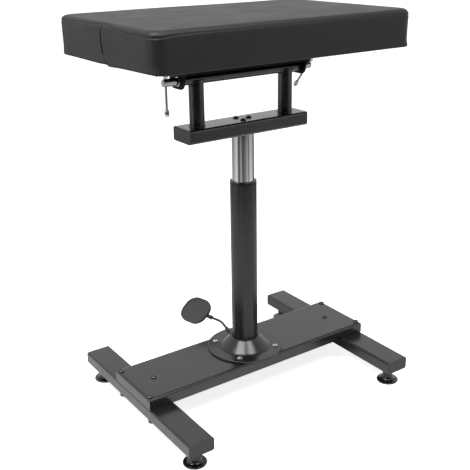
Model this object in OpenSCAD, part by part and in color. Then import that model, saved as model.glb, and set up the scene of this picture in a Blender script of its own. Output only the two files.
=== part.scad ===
// Tattoo arm rest stand: an upholstered rest that tilts on a tube, carried by a column
// that lifts and turns on a wide base. All sizes are in millimetres.
// The origin is on the floor, under the column's axis. X runs along the rest, Y to the back.

/* [Base] */
// Length of the base plate, across both foot tubes
plate_l = 609; // [560:1:680]
// Width of the base plate, front to back
plate_w = 157; // [150:1:200]
// Height of the folded base plate
plate_h = 26; // [22:1:36]
// Thickness of the base plate's sheet
plate_t = 3; // [2:0.5:4]
// Outside radius of the bend along the plate's top edges
plate_bend_r = 6; // [5:0.5:9]
// Length of a foot tube, front to back
foot_l = 472; // [380:1:560]
// Width of a foot tube
foot_w = 60; // [56:1:70]
// Height of a foot tube
foot_h = 30; // [26:1:40]
// Wall of the foot tubes
foot_wall = 2; // [1.5:0.5:3]
// Outside corner radius of the foot tubes
foot_corner_r = 5; // [4:0.5:7]

/* [Levelling feet] */
// Height of a levelling foot, from the floor to the foot tube
leveller_h = 36.5; // [30:0.5:50]
// Diameter of a levelling foot's disc
leveller_d = 50.6; // [40:0.2:60]
// Diameter of a levelling foot's neck
leveller_neck_d = 23; // [18:0.5:28]
// Thickness of the disc's rim
leveller_rim_t = 4; // [3:0.5:6]
// Height at which the flare meets the neck
leveller_flare_h = 15; // [11:0.5:20]
// Distance from a foot tube's end to the levelling foot's centre
leveller_inset = 29.5; // [28:0.5:60]
// Diameter of the levelling foot's threaded stem
stem_d = 10; // [8:1:12]

/* [Column] */
// Outside diameter of the outer column
column_d = 60; // [58:0.5:70]
// Wall of the outer column
column_wall = 2.5; // [2:0.1:3]
// Length of the outer column above the base plate
column_l = 404.5; // [380:0.5:480]
// Outside diameter of the sliding inner column
inner_d = 50; // [46:0.5:51]
// Wall of the inner column
inner_wall = 2; // [1.5:0.1:2.5]
// Length of the inner column
inner_l = 386; // [340:1:400]
// Length of the inner column that shows above the outer one
lift_gap = 116.5; // [110:0.5:150]
// Length of the guide bush in the outer column's mouth
bush_l = 40; // [25:1:60]
// Height of the glide ring on the inner column's foot
glide_h = 14; // [8:1:20]

/* [Column flange] */
// Diameter of the flange's disc
flange_d = 178; // [170:1:200]
// Thickness of the flange's disc
flange_t = 4; // [3:0.5:5]
// Diameter of the cone at its foot
cone_d = 119; // [112:1:126]
// Height of the cone's top over the base plate
cone_h = 27.5; // [26:0.5:34]
// Radial width of the ring that the cone closes on the column with
ring_w = 4.3; // [3.5:0.1:6]
// Radius of the rolled bead around the cone's foot
bead_r = 2.4; // [1.8:0.1:3]
// Diameter of the circle of flange screws
flange_pcd = 145; // [142:0.5:150]
// Thread diameter of the flange screws
flange_screw_d = 6; // [5:0.5:8]

/* [Gas spring] */
// Diameter of the gas spring's cylinder
spring_d = 28; // [24:0.5:32]
// Wall of the gas spring's cylinder
spring_wall = 1.5; // [1:0.1:2]
// Length of the gas spring's cylinder
spring_l = 330; // [310:1:340]
// Diameter of the gas spring's rod
rod_d = 10; // [8:0.5:12]
// Height of the piston's middle over the base plate
piston_z = 307.5; // [290:0.5:330]
// Thickness of the seat that carries the gas spring
seat_t = 10; // [8:0.5:14]
// Height of the seat's underside over the base plate
seat_z = 17.5; // [16.5:0.5:22]
// Diameter of the release pin
release_pin_d = 4; // [3:0.5:5]

/* [Pedal] */
// Turn of the pedal's lever about the column, from straight back
lever_turn = 14; // [0:1:25]
// Diameter of the lever's rod
lever_d = 6; // [5:0.5:7]
// Height of the lever's inner end over the base plate
lever_low_z = 6.5; // [6:0.5:7.5]
// Height of the lever's outer run over the base plate
lever_high_z = 38.3; // [36:0.3:48.3]
// Rise of the lever between its two bends, as a share of its run
lever_grade_share = 0.75; // [0.65:0.05:0.85]
// Distance from the column's axis at which the lever starts to rise
lever_bend_y = 29; // [28:0.5:32]
// Radius of the lever's inner bend
lever_inner_r = 14; // [10:0.5:18]
// Radius of the lever's outer bend
lever_outer_r = 30; // [20:0.5:40]
// Length of the pedal along its lever
pedal_l = 78; // [60:1:90]
// Width of the pedal
pedal_w = 69; // [62:1:80]
// Corner radius of the pedal
pedal_corner_r = 29; // [15:1:30]
// Distance from the column's axis to the pedal's middle
pedal_y = 158; // [150:1:175]
// Roll of the pedal about its lever
pedal_roll = 35; // [0:1:45]
// Thickness of the pedal's rubber cover
pedal_pad_t = 4; // [3:0.5:8]
// Distance from the column's axis to the lever's pivot
pivot_y = 15; // [13:0.5:16]
// Diameter of the lever's pivot pin
pivot_d = 5; // [4:0.5:6]

/* [Head frame] */
// Length of the crossbar
bar_l = 307; // [280:1:340]
// Width of the crossbar, front to back
bar_w = 66; // [50:1:70]
// Height of the crossbar
bar_h = 30; // [25:1:40]
// Wall of the crossbar
bar_wall = 2; // [1.5:0.5:3]
// Outside corner radius of the crossbar
bar_corner_r = 5; // [4:0.5:7]
// Diameter of the posts
post_d = 32; // [25:0.5:34]
// Wall of the posts
post_wall = 2; // [1.5:0.1:3]
// Distance from the tilt tube's end in to a post's axis
post_inset = 38; // [32:1:58]
// Height of the tilt tube's axis over the crossbar
tilt_rise = 96.5; // [80:0.5:120]
// Diameter of the tilt tube
tilt_d = 20; // [18:0.5:24]
// Wall of the tilt tube
tilt_wall = 2.5; // [2:0.1:3]
// Length of the tilt tube
tilt_l = 306; // [280:1:330]
// Diameter of the circle of the three crossbar screws
bar_screw_pcd = 32; // [28:0.5:33]
// Thread diameter of the crossbar screws and of the base plate's bolts
bolt_d = 8; // [6:0.5:8]

/* [Clamp screws] */
// Thread diameter of the clamp screws
clamp_d = 10; // [8:0.5:12]
// Diameter of a clamp screw's head
clamp_head_d = 16; // [14:0.5:18]
// Length of the left clamp screw's head
left_head_l = 33; // [26:0.5:40]
// Length of the right clamp screw's head
right_head_l = 25; // [22:0.5:40]
// Distance from a clamp screw's outer end to its cross bar
cross_inset = 6.5; // [5.5:0.5:9]
// Diameter of the cross bars
cross_d = 5; // [4:0.5:6]
// Length of a cross bar with its caps
cross_l = 91; // [80:1:94]
// Diameter of the cross bars' caps
cross_cap_d = 10.4; // [9:0.2:11]
// Length of a cross bar's cap
cross_cap_l = 15; // [10:0.5:18]
// Turn of the left cross bar from hanging
left_cross_turn = 0; // [-20:1:20]
// Turn of the right cross bar from hanging
right_cross_turn = 40; // [0:1:50]

/* [Tilt bracket] */
// Width of the tilt bracket, front to back
bracket_w = 80; // [70:1:100]
// Depth of the bracket's side walls
bracket_h = 36; // [30:0.5:38]
// Thickness of the bracket's sheet
bracket_t = 3; // [2:0.5:4]
// Thickness of the bracket's ears
ear_t = 4; // [3:0.5:5]
// Distance from the tilt axis to the bracket's face against the board
bracket_rise = 50.4; // [48:0.2:60]
// Half of the ear's width at the tilt axis
ear_half_w = 26; // [17:0.5:30]
// Distance from the tilt axis to the ear's lowest point
ear_drop = 16; // [13:0.5:18]

/* [Rest] */
// Length of the upholstered rest
pad_l = 618; // [520:1:640]
// Width of the upholstered rest
pad_w = 398; // [330:1:430]
// Height of the rest at its crown
pad_h = 81; // [60:0.5:90]
// Height of the crown over the rest's top edge
pad_crown = 4; // [2:0.5:8]
// Corner radius of the rest, seen from above
pad_corner_r = 28; // [20:1:40]
// Offset of the rest from the column, along X
pad_off_x = -7; // [-15:0.5:15]
// Offset of the rest from the column, along Y
pad_off_y = 5.5; // [-10:0.5:10]
// Thickness of the cover that is turned in under the board
hem_t = 1.2; // [1:0.1:2]
// Width of the cover that is turned in under the board
hem_w = 28; // [20:1:36]
// Thickness of the wooden board
board_t = 15; // [12:0.5:18]
// Distance from the rest's outline to the board's edge
board_inset = 16; // [14:0.5:20]

/* [Hidden] */

// Smoothness of round parts
round_fn = 96;
small_fn = 48;
// How far a cut runs past the face that it opens
overrun = 1;
// Radial clearance of a running fit
running_fit = 0.05;
// Gap between parts that are welded, pressed or glued together
seat_gap = 0.02;
// Gap between faces that move on each other
slip_gap = 0.3;
// Radial clearance of a screw in its hole
screw_fit = 0.4;

// Colours
powder_black = [0.20, 0.20, 0.20];
plastic_black = [0.10, 0.10, 0.10];
leather_black = [0.14, 0.14, 0.14];
rubber_grey = [0.32, 0.32, 0.32];
chrome_silver = [0.80, 0.81, 0.83];
zinc_silver = [0.72, 0.73, 0.74];
brass_tone = [0.75, 0.62, 0.35];
wood_tone = [0.74, 0.60, 0.42];

// Heights, from the floor up
foot_bottom_z = leveller_h;
foot_top_z = foot_bottom_z + foot_h;
plate_top_z = foot_top_z + plate_h;
column_top_z = plate_top_z + column_l;
bar_bottom_z = column_top_z + lift_gap;
bar_top_z = bar_bottom_z + bar_h;
axis_z = bar_top_z + tilt_rise;
board_bottom_z = axis_z + bracket_rise;
pad_bottom_z = board_bottom_z - hem_t;

// Base
foot_x = plate_l / 2 - foot_w / 2;
leveller_y = foot_l / 2 - leveller_inset;
cap_t = 2;
cap_plug_l = 14;
cap_plug_wall = 1.6;
insert_wall = 2.5;
insert_l = 18;
insert_r = stem_d / 2 + insert_wall;
// Bolt places as shares of half the foot tube's width and half the plate's width
outer_bolt_x_share = 0.73;
inner_bolt_x_share = 0.8;
bolt_y_share = 0.84;
outer_bolt_x = foot_x + foot_w / 2 * outer_bolt_x_share;
inner_bolt_x = foot_x - foot_w / 2 * inner_bolt_x_share;
bolt_y = plate_w / 2 * bolt_y_share;
bolt_places = [
    [outer_bolt_x, bolt_y], [outer_bolt_x, -bolt_y], [inner_bolt_x, 0],
    [-outer_bolt_x, bolt_y], [-outer_bolt_x, -bolt_y], [-inner_bolt_x, 0]
];
bolt_head_r = bolt_d * 0.8;
bolt_head_h = bolt_d * 0.5;
nut_r_share = 0.92;
nut_h_share = 0.8;
bolt_end_share = 1.1;

// Levelling feet
stem_top_share = 0.85;
stem_seat_share = 0.2;

// Column and flange
column_r = column_d / 2;
column_bore_r = column_r - column_wall;
inner_r = inner_d / 2;
inner_bore_r = inner_r - inner_wall;
inner_bottom_z = bar_bottom_z - inner_l;
bush_lip_h = 2;
bush_lip_inset = 1;
ring_r = column_r + ring_w;
cone_r = cone_d / 2;
flange_edge_r = 1.5;
flange_screw_r = flange_pcd / 2;
flange_head_r = flange_screw_d;
flange_head_h = flange_screw_d * 0.6;

// Gas spring
spring_r = spring_d / 2;
spring_bore_r = spring_r - spring_wall;
rod_r = rod_d / 2;
seat_bottom_z = plate_top_z + seat_z;
seat_top_z = seat_bottom_z + seat_t;
washer_h = 2;
washer_r_share = 1.8;
collar_h = 4;
collar_r_share = 1.6;
clip_h = 1.2;
clip_gap = 0.2;
rod_end_z = seat_bottom_z - clip_gap - clip_h - clip_gap;
piston_h = 14;
piston_fit = 0.1;
spring_cap_h = 20;
// The cylinder hangs under the column head by its stud
head_h = 18;
stud_l = 40;
spring_top_z = bar_bottom_z - head_h - stud_l + stud_l / 4;
spring_bottom_z = spring_top_z - spring_l;
pin_travel = 3;
pin_bore_l = 22;
pin_l = 15;

// Pedal and its lever
lever_r = lever_d / 2;
lever_slope = atan(lever_grade_share);
lever_z = plate_top_z + lever_low_z;
rocker_w = 8;
rocker_h = 8;
rocker_nose = 5;
rocker_end_y = 25;
rocker_socket = 6;
cheek_t = 3;
cheek_l = 14;
cheek_gap = 0.8;
lever_rise = lever_high_z - lever_low_z;
lever_run = (lever_rise - (lever_inner_r + lever_outer_r) * (1 - cos(lever_slope))) / sin(lever_slope);
lever_level_y = lever_bend_y + (lever_inner_r + lever_outer_r) * sin(lever_slope)
    + lever_run * cos(lever_slope);
pedal_start_y = pedal_y - pedal_l / 2;
pedal_plate_t = 2.5;
pedal_rim_w = 4;
pedal_rim_h = 1;
lever_under_share = 0.45;
ferrule_r = lever_r * 1.5;
ferrule_l = 12;
ferrule_start_share = 0.42;
clip_sleeve_r = lever_r * 1.7;
clip_sleeve_l = 12;
slot_w = lever_d * 2;
cone_hole_r = lever_r * 1.9;
cone_hole_drop = 4;

// Head frame
bar_screw_r = bar_screw_pcd / 2;
bar_screw_angles = [0, 120, 240];
tilt_r = tilt_d / 2;
post_r = post_d / 2;
post_x = tilt_l / 2 - post_inset;
insert_len = 25;
weld_gap = 0.05;

// Tilt bracket
ear_x = tilt_l / 2 + slip_gap;
bracket_l = 2 * (ear_x + ear_t);
ear_round_r = ear_drop - 2;
ear_round_y = ear_half_w - ear_round_r;
ear_round_z = ear_round_r - ear_drop;
bracket_screw_x_share = 0.82;
bracket_screw_y_share = 0.6;
bracket_screw_d = 6;
bracket_screw_x = bracket_l / 2 * bracket_screw_x_share;
bracket_screw_y = bracket_w / 2 * bracket_screw_y_share;
bracket_y = pad_off_y;
bracket_places = [
    for (sx = [-1, 1], sy = [-1, 1]) [sx * bracket_screw_x, bracket_y + sy * bracket_screw_y]
];

// Clamp screws
clamp_r = clamp_d / 2;
clamp_head_r = clamp_head_d / 2;
clamp_thread_in = 24;
clamp_chamfer = 1;
clamp_washer_t = 1.6;
clamp_washer_r = clamp_head_r * 1.2;
clamp_head_x = ear_x + ear_t + slip_gap + clamp_washer_t + seat_gap;
cross_r = cross_d / 2;
cross_cap_r = cross_cap_d / 2;
cross_top = clamp_head_r + slip_gap + cross_cap_l;
cross_bottom = cross_top - cross_l;
cap_neck_share = 0.62;
cap_tip_share = 0.35;

// Rest: the outline's inset at each share of the height, from the hem up to the top edge
pad_edge_h = pad_h - pad_crown;
side_height_shares = [0, 0.02, 0.06, 0.16, 0.5, 0.8, 0.86, 0.92, 0.965, 1];
side_inset_shares = [0.45, 0.22, 0.1, 0.06, 0, 0.04, 0.12, 0.32, 0.6, 1];
side_inset_max = 11;
crown_in_shares = [0.12, 0.28, 0.5, 0.75];
corner_steps = 8;
pocket_gap = 0.4;
tee_nut_r = 9;
tee_nut_t = 1.5;

// A rectangle with rounded corners about the origin
module rounded_rect(w, h, r) {
    square([w - 2 * r, h], center = true);
    square([w, h - 2 * r], center = true);
    for (sx = [-1, 1], sy = [-1, 1])
        translate([sx * (w / 2 - r), sy * (h / 2 - r)])
            circle(r, $fn = small_fn);
}

// A rectangle that stands on zero with its two top corners rounded
module arched_rect(w, h, r) {
    translate([-w / 2, 0])
        square([w, h - r]);
    translate([r - w / 2, 0])
        square([w - 2 * r, h]);
    for (side = [-1, 1])
        translate([side * (w / 2 - r), h - r])
            circle(r, $fn = small_fn);
}

// A round bar or hole that stands on zero
module rod(r, h) {
    cylinder(r = r, h = h, $fn = r > rod_r ? round_fn : small_fn);
}

// A round tube that stands on zero
module tube(r, bore, h) {
    difference() {
        rod(r, h);
        translate([0, 0, -overrun])
            rod(bore, h + 2 * overrun);
    }
}

// A rectangular tube along Y, about its middle
module box_tube(l, w, h, wall, r) {
    rotate([90, 0, 0])
        translate([0, 0, -l / 2])
            linear_extrude(l)
                difference() {
                    rounded_rect(w, h, r);
                    rounded_rect(w - 2 * wall, h - 2 * wall, r - wall);
                }
}

// A moulded plug for the open end of a rectangular tube; its face is at zero and it runs to -Y
module tube_cap(w, h, wall, r) {
    rotate([90, 0, 0]) {
        linear_extrude(cap_t)
            rounded_rect(w, h, r);
        translate([0, 0, cap_t])
            linear_extrude(cap_plug_l)
                difference() {
                    rounded_rect(w - 2 * (wall + slip_gap), h - 2 * (wall + slip_gap), r - wall);
                    rounded_rect(w - 2 * (wall + cap_plug_wall + slip_gap),
                        h - 2 * (wall + cap_plug_wall + slip_gap), r - wall - cap_plug_wall / 2);
                }
    }
}

// A low domed head on zero, with a hexagon socket in it
module domed_head(r, h) {
    difference() {
        intersection() {
            rod(r, h);
            translate([0, 0, h - dome_radius(r, h)])
                sphere(dome_radius(r, h), $fn = small_fn);
        }
        translate([0, 0, h / 2])
            cylinder(r = r * 0.42, h = h, $fn = 6);
    }
}

// The radius of a dome that is h high in the middle and half as high at its rim
function dome_radius(r, h) = (r * r + h * h / 4) / h;

// A screw that hangs from zero, with its domed head on top
module domed_screw(d, l, head_r, head_h) {
    domed_head(head_r, head_h);
    translate([0, 0, -l])
        rod(d / 2, l + head_h / 4);
}

// A hexagon nut that hangs from zero
module hex_nut(d) {
    difference() {
        translate([0, 0, -d * nut_h_share])
            cylinder(r = d * nut_r_share, h = d * nut_h_share, $fn = 6);
        translate([0, 0, -d * nut_h_share - overrun])
            rod(d / 2 + seat_gap, d * nut_h_share + 2 * overrun);
    }
}

// Base plate

module pan(l, w, h, r) {
    intersection() {
        translate([-l / 2, 0, 0])
            rotate([90, 0, 90])
                linear_extrude(l)
                    arched_rect(w, h, r);
        translate([0, w / 2, 0])
            rotate([90, 0, 0])
                linear_extrude(w)
                    arched_rect(l, h, r);
    }
}

module base_plate() {
    color(powder_black)
        difference() {
            translate([0, 0, foot_top_z])
                pan(plate_l, plate_w, plate_h, plate_bend_r);
            translate([0, 0, foot_top_z - overrun])
                pan(plate_l - 2 * plate_t, plate_w - 2 * plate_t, plate_h - plate_t + overrun,
                    plate_bend_r - plate_t);
            for (place = bolt_places)
                translate([place[0], place[1], foot_top_z])
                    rod(bolt_d / 2 + screw_fit, plate_h + overrun);
            flange_circle()
                translate([0, 0, foot_top_z])
                    rod(flange_screw_d / 2 + screw_fit, plate_h + overrun);
        }
}

module foot_tube(side) {
    color(powder_black)
        difference() {
            translate([side * foot_x, 0, foot_bottom_z + foot_h / 2])
                box_tube(foot_l - 2 * cap_t, foot_w, foot_h, foot_wall, foot_corner_r);
            for (place = bolt_places)
                translate([place[0], place[1], foot_bottom_z - overrun])
                    rod(bolt_d / 2 + screw_fit, foot_h + 2 * overrun);
            for (y_side = [-1, 1])
                translate([side * foot_x, y_side * leveller_y, foot_bottom_z - overrun])
                    rod(insert_r + seat_gap, foot_wall + 2 * overrun);
        }
}

module left_foot_tube() {
    foot_tube(-1);
}

module right_foot_tube() {
    foot_tube(1);
}

module foot_tube_caps() {
    color(plastic_black)
        for (side = [-1, 1], turn = [0, 180])
            translate([side * foot_x, 0, foot_bottom_z + foot_h / 2])
                rotate([0, 0, turn])
                    translate([0, foot_l / 2, 0])
                        tube_cap(foot_w, foot_h, foot_wall, foot_corner_r);
}

module at_levellers() {
    for (side = [-1, 1], y_side = [-1, 1])
        translate([side * foot_x, y_side * leveller_y, 0])
            children();
}

module foot_inserts() {
    color(zinc_silver)
        at_levellers()
            translate([0, 0, foot_bottom_z])
                tube(insert_r, stem_d / 2 + running_fit, insert_l);
}

module plate_bolts() {
    color(powder_black)
        for (place = bolt_places)
            translate([place[0], place[1], plate_top_z])
                domed_screw(bolt_d, plate_h + foot_h + bolt_d * bolt_end_share,
                    bolt_head_r, bolt_head_h);
}

module plate_nuts() {
    color(powder_black)
        for (place = bolt_places)
            translate([place[0], place[1], foot_bottom_z])
                hex_nut(bolt_d);
}

// Levelling feet

module leveller_base() {
    neck_r = leveller_neck_d / 2;
    rim_r = leveller_d / 2;
    flare_r = leveller_flare_h - leveller_rim_t;
    color(plastic_black)
        difference() {
            rotate_extrude($fn = round_fn) {
                translate([0, leveller_rim_t / 2])
                    square([rim_r - leveller_rim_t / 2, leveller_rim_t / 2]);
                square([rim_r - leveller_rim_t / 4, leveller_rim_t / 2]);
                intersection() {
                    translate([rim_r - leveller_rim_t / 2, leveller_rim_t / 2])
                        circle(leveller_rim_t / 2, $fn = small_fn);
                    square([rim_r, leveller_rim_t]);
                }
                square([neck_r, leveller_h - slip_gap]);
                difference() {
                    square([neck_r + flare_r, leveller_flare_h]);
                    translate([neck_r + flare_r, leveller_flare_h])
                        circle(flare_r, $fn = small_fn);
                }
            }
            translate([0, 0, leveller_h * stem_seat_share])
                rod(stem_d / 2 + seat_gap, leveller_h);
        }
}

module leveller_stem() {
    stem_bottom = leveller_h * stem_seat_share;
    color(zinc_silver)
        translate([0, 0, stem_bottom])
            rod(stem_d / 2, foot_bottom_z + (foot_h - foot_wall) * stem_top_share - stem_bottom);
}

module front_left_foot() {
    translate([-foot_x, -leveller_y, 0])
        leveller_base();
}

module front_left_stem() {
    translate([-foot_x, -leveller_y, 0])
        leveller_stem();
}

module front_right_foot() {
    translate([foot_x, -leveller_y, 0])
        leveller_base();
}

module front_right_stem() {
    translate([foot_x, -leveller_y, 0])
        leveller_stem();
}

module back_left_foot() {
    translate([-foot_x, leveller_y, 0])
        leveller_base();
}

module back_left_stem() {
    translate([-foot_x, leveller_y, 0])
        leveller_stem();
}

module back_right_foot() {
    translate([foot_x, leveller_y, 0])
        leveller_base();
}

module back_right_stem() {
    translate([foot_x, leveller_y, 0])
        leveller_stem();
}

// Column

module flange_circle() {
    for (turn = [45 : 90 : 315])
        rotate([0, 0, turn])
            translate([flange_screw_r, 0, 0])
                children();
}

// The lever's way out of the column, cut along its slope
module lever_exit() {
    rotate([0, 0, lever_turn])
        translate([0, lever_bend_y + lever_inner_r * sin(lever_slope),
                lever_z + lever_inner_r * (1 - cos(lever_slope))])
            rotate([lever_slope - 90, 0, 0])
                for (drop = [0, cone_hole_drop])
                    translate([0, drop, -lever_inner_r / 2])
                        rod(cone_hole_r, lever_outer_r + cone_h);
}

module column_flange() {
    shell_r = column_r + seat_gap;
    color(powder_black)
        difference() {
            translate([0, 0, plate_top_z])
                rotate_extrude($fn = round_fn) {
                    translate([cone_r - flange_t, 0])
                        square([flange_d / 2 - flange_edge_r - cone_r + flange_t, flange_t]);
                    translate([cone_r, 0])
                        square([flange_d / 2 - cone_r, flange_t - flange_edge_r]);
                    translate([flange_d / 2 - flange_edge_r, flange_t - flange_edge_r])
                        circle(flange_edge_r, $fn = small_fn);
                    polygon([
                        [cone_r - flange_t, 0], [cone_r, flange_t], [ring_r, cone_h],
                        [shell_r, cone_h], [shell_r, cone_h - flange_t]
                    ]);
                    translate([cone_r - bead_r / 2, flange_t])
                        circle(bead_r, $fn = small_fn);
                    translate([shell_r, cone_h - flange_t])
                        square([ring_w - ring_w / 3, flange_t + ring_w / 3]);
                    translate([ring_r - ring_w / 2, cone_h])
                        circle(ring_w / 2 - seat_gap, $fn = small_fn);
                }
            translate([0, 0, plate_top_z - bead_r])
                rod(cone_r - flange_t - bead_r, bead_r);
            flange_circle()
                translate([0, 0, plate_top_z - overrun])
                    rod(flange_screw_d / 2 + screw_fit, flange_t + 2 * overrun);
            lever_exit();
        }
}

module flange_screws() {
    color(chrome_silver)
        flange_circle()
            translate([0, 0, plate_top_z + flange_t])
                domed_screw(flange_screw_d, flange_t + plate_t + flange_screw_d * bolt_end_share,
                    flange_head_r, flange_head_h);
}

module flange_nuts() {
    color(zinc_silver)
        flange_circle()
            translate([0, 0, plate_top_z - plate_t])
                hex_nut(flange_screw_d);
}

module outer_column() {
    slot_h = lever_inner_r * (1 - cos(lever_slope)) + lever_d * 2;
    color(powder_black)
        difference() {
            translate([0, 0, plate_top_z])
                tube(column_r, column_bore_r, column_l);
            rotate([0, 0, lever_turn])
                translate([-slot_w / 2, 0, plate_top_z - overrun])
                    cube([slot_w, column_d, slot_h]);
        }
}

module guide_bush() {
    color(plastic_black)
        translate([0, 0, column_top_z]) {
            translate([0, 0, -bush_l])
                tube(column_bore_r - seat_gap, inner_r + running_fit, bush_l + bush_lip_h / 2);
            tube(column_r - bush_lip_inset, inner_r + running_fit, bush_lip_h);
        }
}

// Gas spring and its release

module spring_seat() {
    cheek_x = rocker_w / 2 + cheek_gap;
    cheek_bottom_z = plate_top_z + slip_gap;
    color(zinc_silver)
        difference() {
            union() {
                translate([0, 0, seat_bottom_z])
                    rod(column_bore_r - seat_gap, seat_t);
                rotate([0, 0, lever_turn])
                    for (side = [-1, 1])
                        translate([side * (cheek_x + cheek_t / 2) - cheek_t / 2,
                                pivot_y - cheek_l / 2, cheek_bottom_z])
                            cube([cheek_t, cheek_l, seat_bottom_z - cheek_bottom_z + seat_t / 2]);
            }
            translate([0, 0, seat_bottom_z - overrun])
                rod(rod_r + running_fit, seat_t + 2 * overrun);
            at_pivot()
                translate([0, 0, -column_r])
                    rod(pivot_d / 2 + seat_gap, column_d);
        }
}

// The pivot's place and way, along X in the lever's own frame
module at_pivot() {
    rotate([0, 0, lever_turn])
        translate([0, pivot_y, lever_z])
            rotate([0, 90, 0])
                children();
}

module pivot_pin() {
    pin_half = rocker_w / 2 + cheek_gap + cheek_t;
    color(zinc_silver)
        at_pivot()
            translate([0, 0, -pin_half])
                rod(pivot_d / 2, 2 * pin_half);
}

module thrust_washer() {
    color(brass_tone)
        translate([0, 0, seat_top_z])
            tube(rod_r * washer_r_share, rod_r + running_fit, washer_h);
}

module gas_spring_rod() {
    collar_z = seat_top_z + washer_h + seat_gap;
    color(chrome_silver)
        difference() {
            union() {
                translate([0, 0, rod_end_z])
                    rod(rod_r, plate_top_z + piston_z - rod_end_z);
                translate([0, 0, collar_z])
                    rod(rod_r * collar_r_share, collar_h);
                translate([0, 0, plate_top_z + piston_z - piston_h / 2])
                    rod(spring_bore_r - piston_fit, piston_h);
            }
            translate([0, 0, rod_end_z - overrun])
                rod(release_pin_d / 2 + running_fit, pin_bore_l + overrun);
            translate([0, 0, seat_bottom_z - clip_gap - clip_h])
                tube(rod_r + overrun, rod_r * 0.82, clip_h);
        }
}

module rod_clip() {
    color(zinc_silver)
        translate([0, 0, seat_bottom_z - clip_gap - clip_h + seat_gap])
            difference() {
                tube(rod_r * 1.5, rod_r * 0.82 + seat_gap, clip_h - 2 * seat_gap);
                translate([-rod_r / 2, 0, -overrun])
                    cube([rod_r, rod_d, clip_h + 2 * overrun]);
            }
}

module release_pin() {
    color(zinc_silver)
        translate([0, 0, lever_z + rocker_h / 2 + slip_gap / 2])
            rod(release_pin_d / 2, pin_l);
}

module release_rocker() {
    color(zinc_silver)
        difference() {
            rotate([0, 0, lever_turn])
                translate([-rocker_w / 2, -rocker_nose, lever_z - rocker_h / 2])
                    cube([rocker_w, rocker_nose + rocker_end_y, rocker_h]);
            at_pivot()
                translate([0, 0, -rocker_w])
                    rod(pivot_d / 2 + running_fit, 2 * rocker_w);
            rotate([0, 0, lever_turn])
                translate([0, rocker_end_y + overrun, lever_z])
                    rotate([90, 0, 0])
                        rod(lever_r + seat_gap, rocker_socket + overrun);
        }
}

// A straight stretch of the lever along +Y, with what follows at its end
module lever_straight(l) {
    rotate([-90, 0, 0])
        rod(lever_r, l);
    translate([0, l, 0])
        children();
}

// A bend of the lever that turns up, or down when up is -1, with what follows at its end
module lever_bend(bend_r, up) {
    translate([0, 0, up * bend_r]) {
        rotate([0, up * 90, 0])
            rotate_extrude(angle = lever_slope, start = 0, $fn = round_fn)
                translate([bend_r, 0])
                    circle(lever_r, $fn = small_fn);
        rotate([up * lever_slope, 0, 0])
            translate([0, 0, -up * bend_r])
                children();
    }
}

module pedal_lever() {
    start_y = rocker_end_y - rocker_socket + seat_gap;
    end_y = pedal_start_y + pedal_l * lever_under_share;
    color(powder_black)
        rotate([0, 0, lever_turn])
            translate([0, start_y, lever_z])
                lever_straight(lever_bend_y - start_y)
                    lever_bend(lever_inner_r, 1)
                        lever_straight(lever_run)
                            lever_bend(lever_outer_r, -1)
                                lever_straight(end_y - lever_level_y);
}

module lever_ferrule() {
    ferrule_start = lever_run * ferrule_start_share;
    color(plastic_black)
        rotate([0, 0, lever_turn])
            translate([0, lever_bend_y + lever_inner_r * sin(lever_slope),
                    lever_z + lever_inner_r * (1 - cos(lever_slope))])
                rotate([lever_slope - 90, 0, 0])
                    translate([0, 0, ferrule_start])
                        tube(ferrule_r, lever_r + seat_gap, ferrule_l);
}

// The pedal's own frame: its middle on the lever's axis, rolled about the lever
module at_pedal() {
    rotate([0, 0, lever_turn])
        translate([0, pedal_y, plate_top_z + lever_high_z])
            rotate([0, -pedal_roll, 0])
                children();
}

module pedal_clip() {
    color(plastic_black)
        rotate([0, 0, lever_turn])
            translate([0, pedal_start_y - clip_sleeve_l - slip_gap, plate_top_z + lever_high_z])
                rotate([-90, 0, 0])
                    tube(clip_sleeve_r, lever_r + seat_gap, clip_sleeve_l);
}

module pedal_plate() {
    color(powder_black)
        at_pedal()
            translate([0, 0, lever_r + seat_gap])
                linear_extrude(pedal_plate_t)
                    rounded_rect(pedal_w - 2 * pedal_rim_w, pedal_l - 2 * pedal_rim_w,
                        pedal_corner_r - pedal_rim_w);
}

module pedal_pad() {
    color(rubber_grey)
        at_pedal()
            translate([0, 0, lever_r + seat_gap])
                difference() {
                    linear_extrude(pedal_plate_t + pedal_pad_t)
                        rounded_rect(pedal_w, pedal_l, pedal_corner_r);
                    translate([0, 0, -overrun])
                        linear_extrude(pedal_plate_t + seat_gap + overrun)
                            rounded_rect(pedal_w - 2 * (pedal_rim_w - seat_gap),
                                pedal_l - 2 * (pedal_rim_w - seat_gap),
                                pedal_corner_r - pedal_rim_w + seat_gap);
                    translate([0, 0, pedal_plate_t + pedal_pad_t - pedal_rim_h])
                        linear_extrude(pedal_rim_h + overrun)
                            rounded_rect(pedal_w - 2 * pedal_rim_w, pedal_l - 2 * pedal_rim_w,
                                pedal_corner_r - pedal_rim_w);
                }
}

// Inner column

module inner_column() {
    color(chrome_silver)
        translate([0, 0, inner_bottom_z])
            tube(inner_r, inner_bore_r, inner_l - slip_gap);
}

module glide_ring() {
    color(plastic_black)
        translate([0, 0, inner_bottom_z])
            tube(column_bore_r - running_fit, inner_r + seat_gap, glide_h);
}

module at_bar_screws() {
    for (turn = bar_screw_angles)
        rotate([0, 0, turn])
            translate([bar_screw_r, 0, 0])
                children();
}

module column_head() {
    color(zinc_silver)
        difference() {
            translate([0, 0, bar_bottom_z - head_h])
                rod(inner_bore_r - seat_gap, head_h);
            translate([0, 0, bar_bottom_z - head_h - overrun])
                rod(rod_r + seat_gap, head_h + 2 * overrun);
            at_bar_screws()
                translate([0, 0, bar_bottom_z - head_h - overrun])
                    rod(bolt_d / 2 + seat_gap, head_h + 2 * overrun);
        }
}

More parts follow.
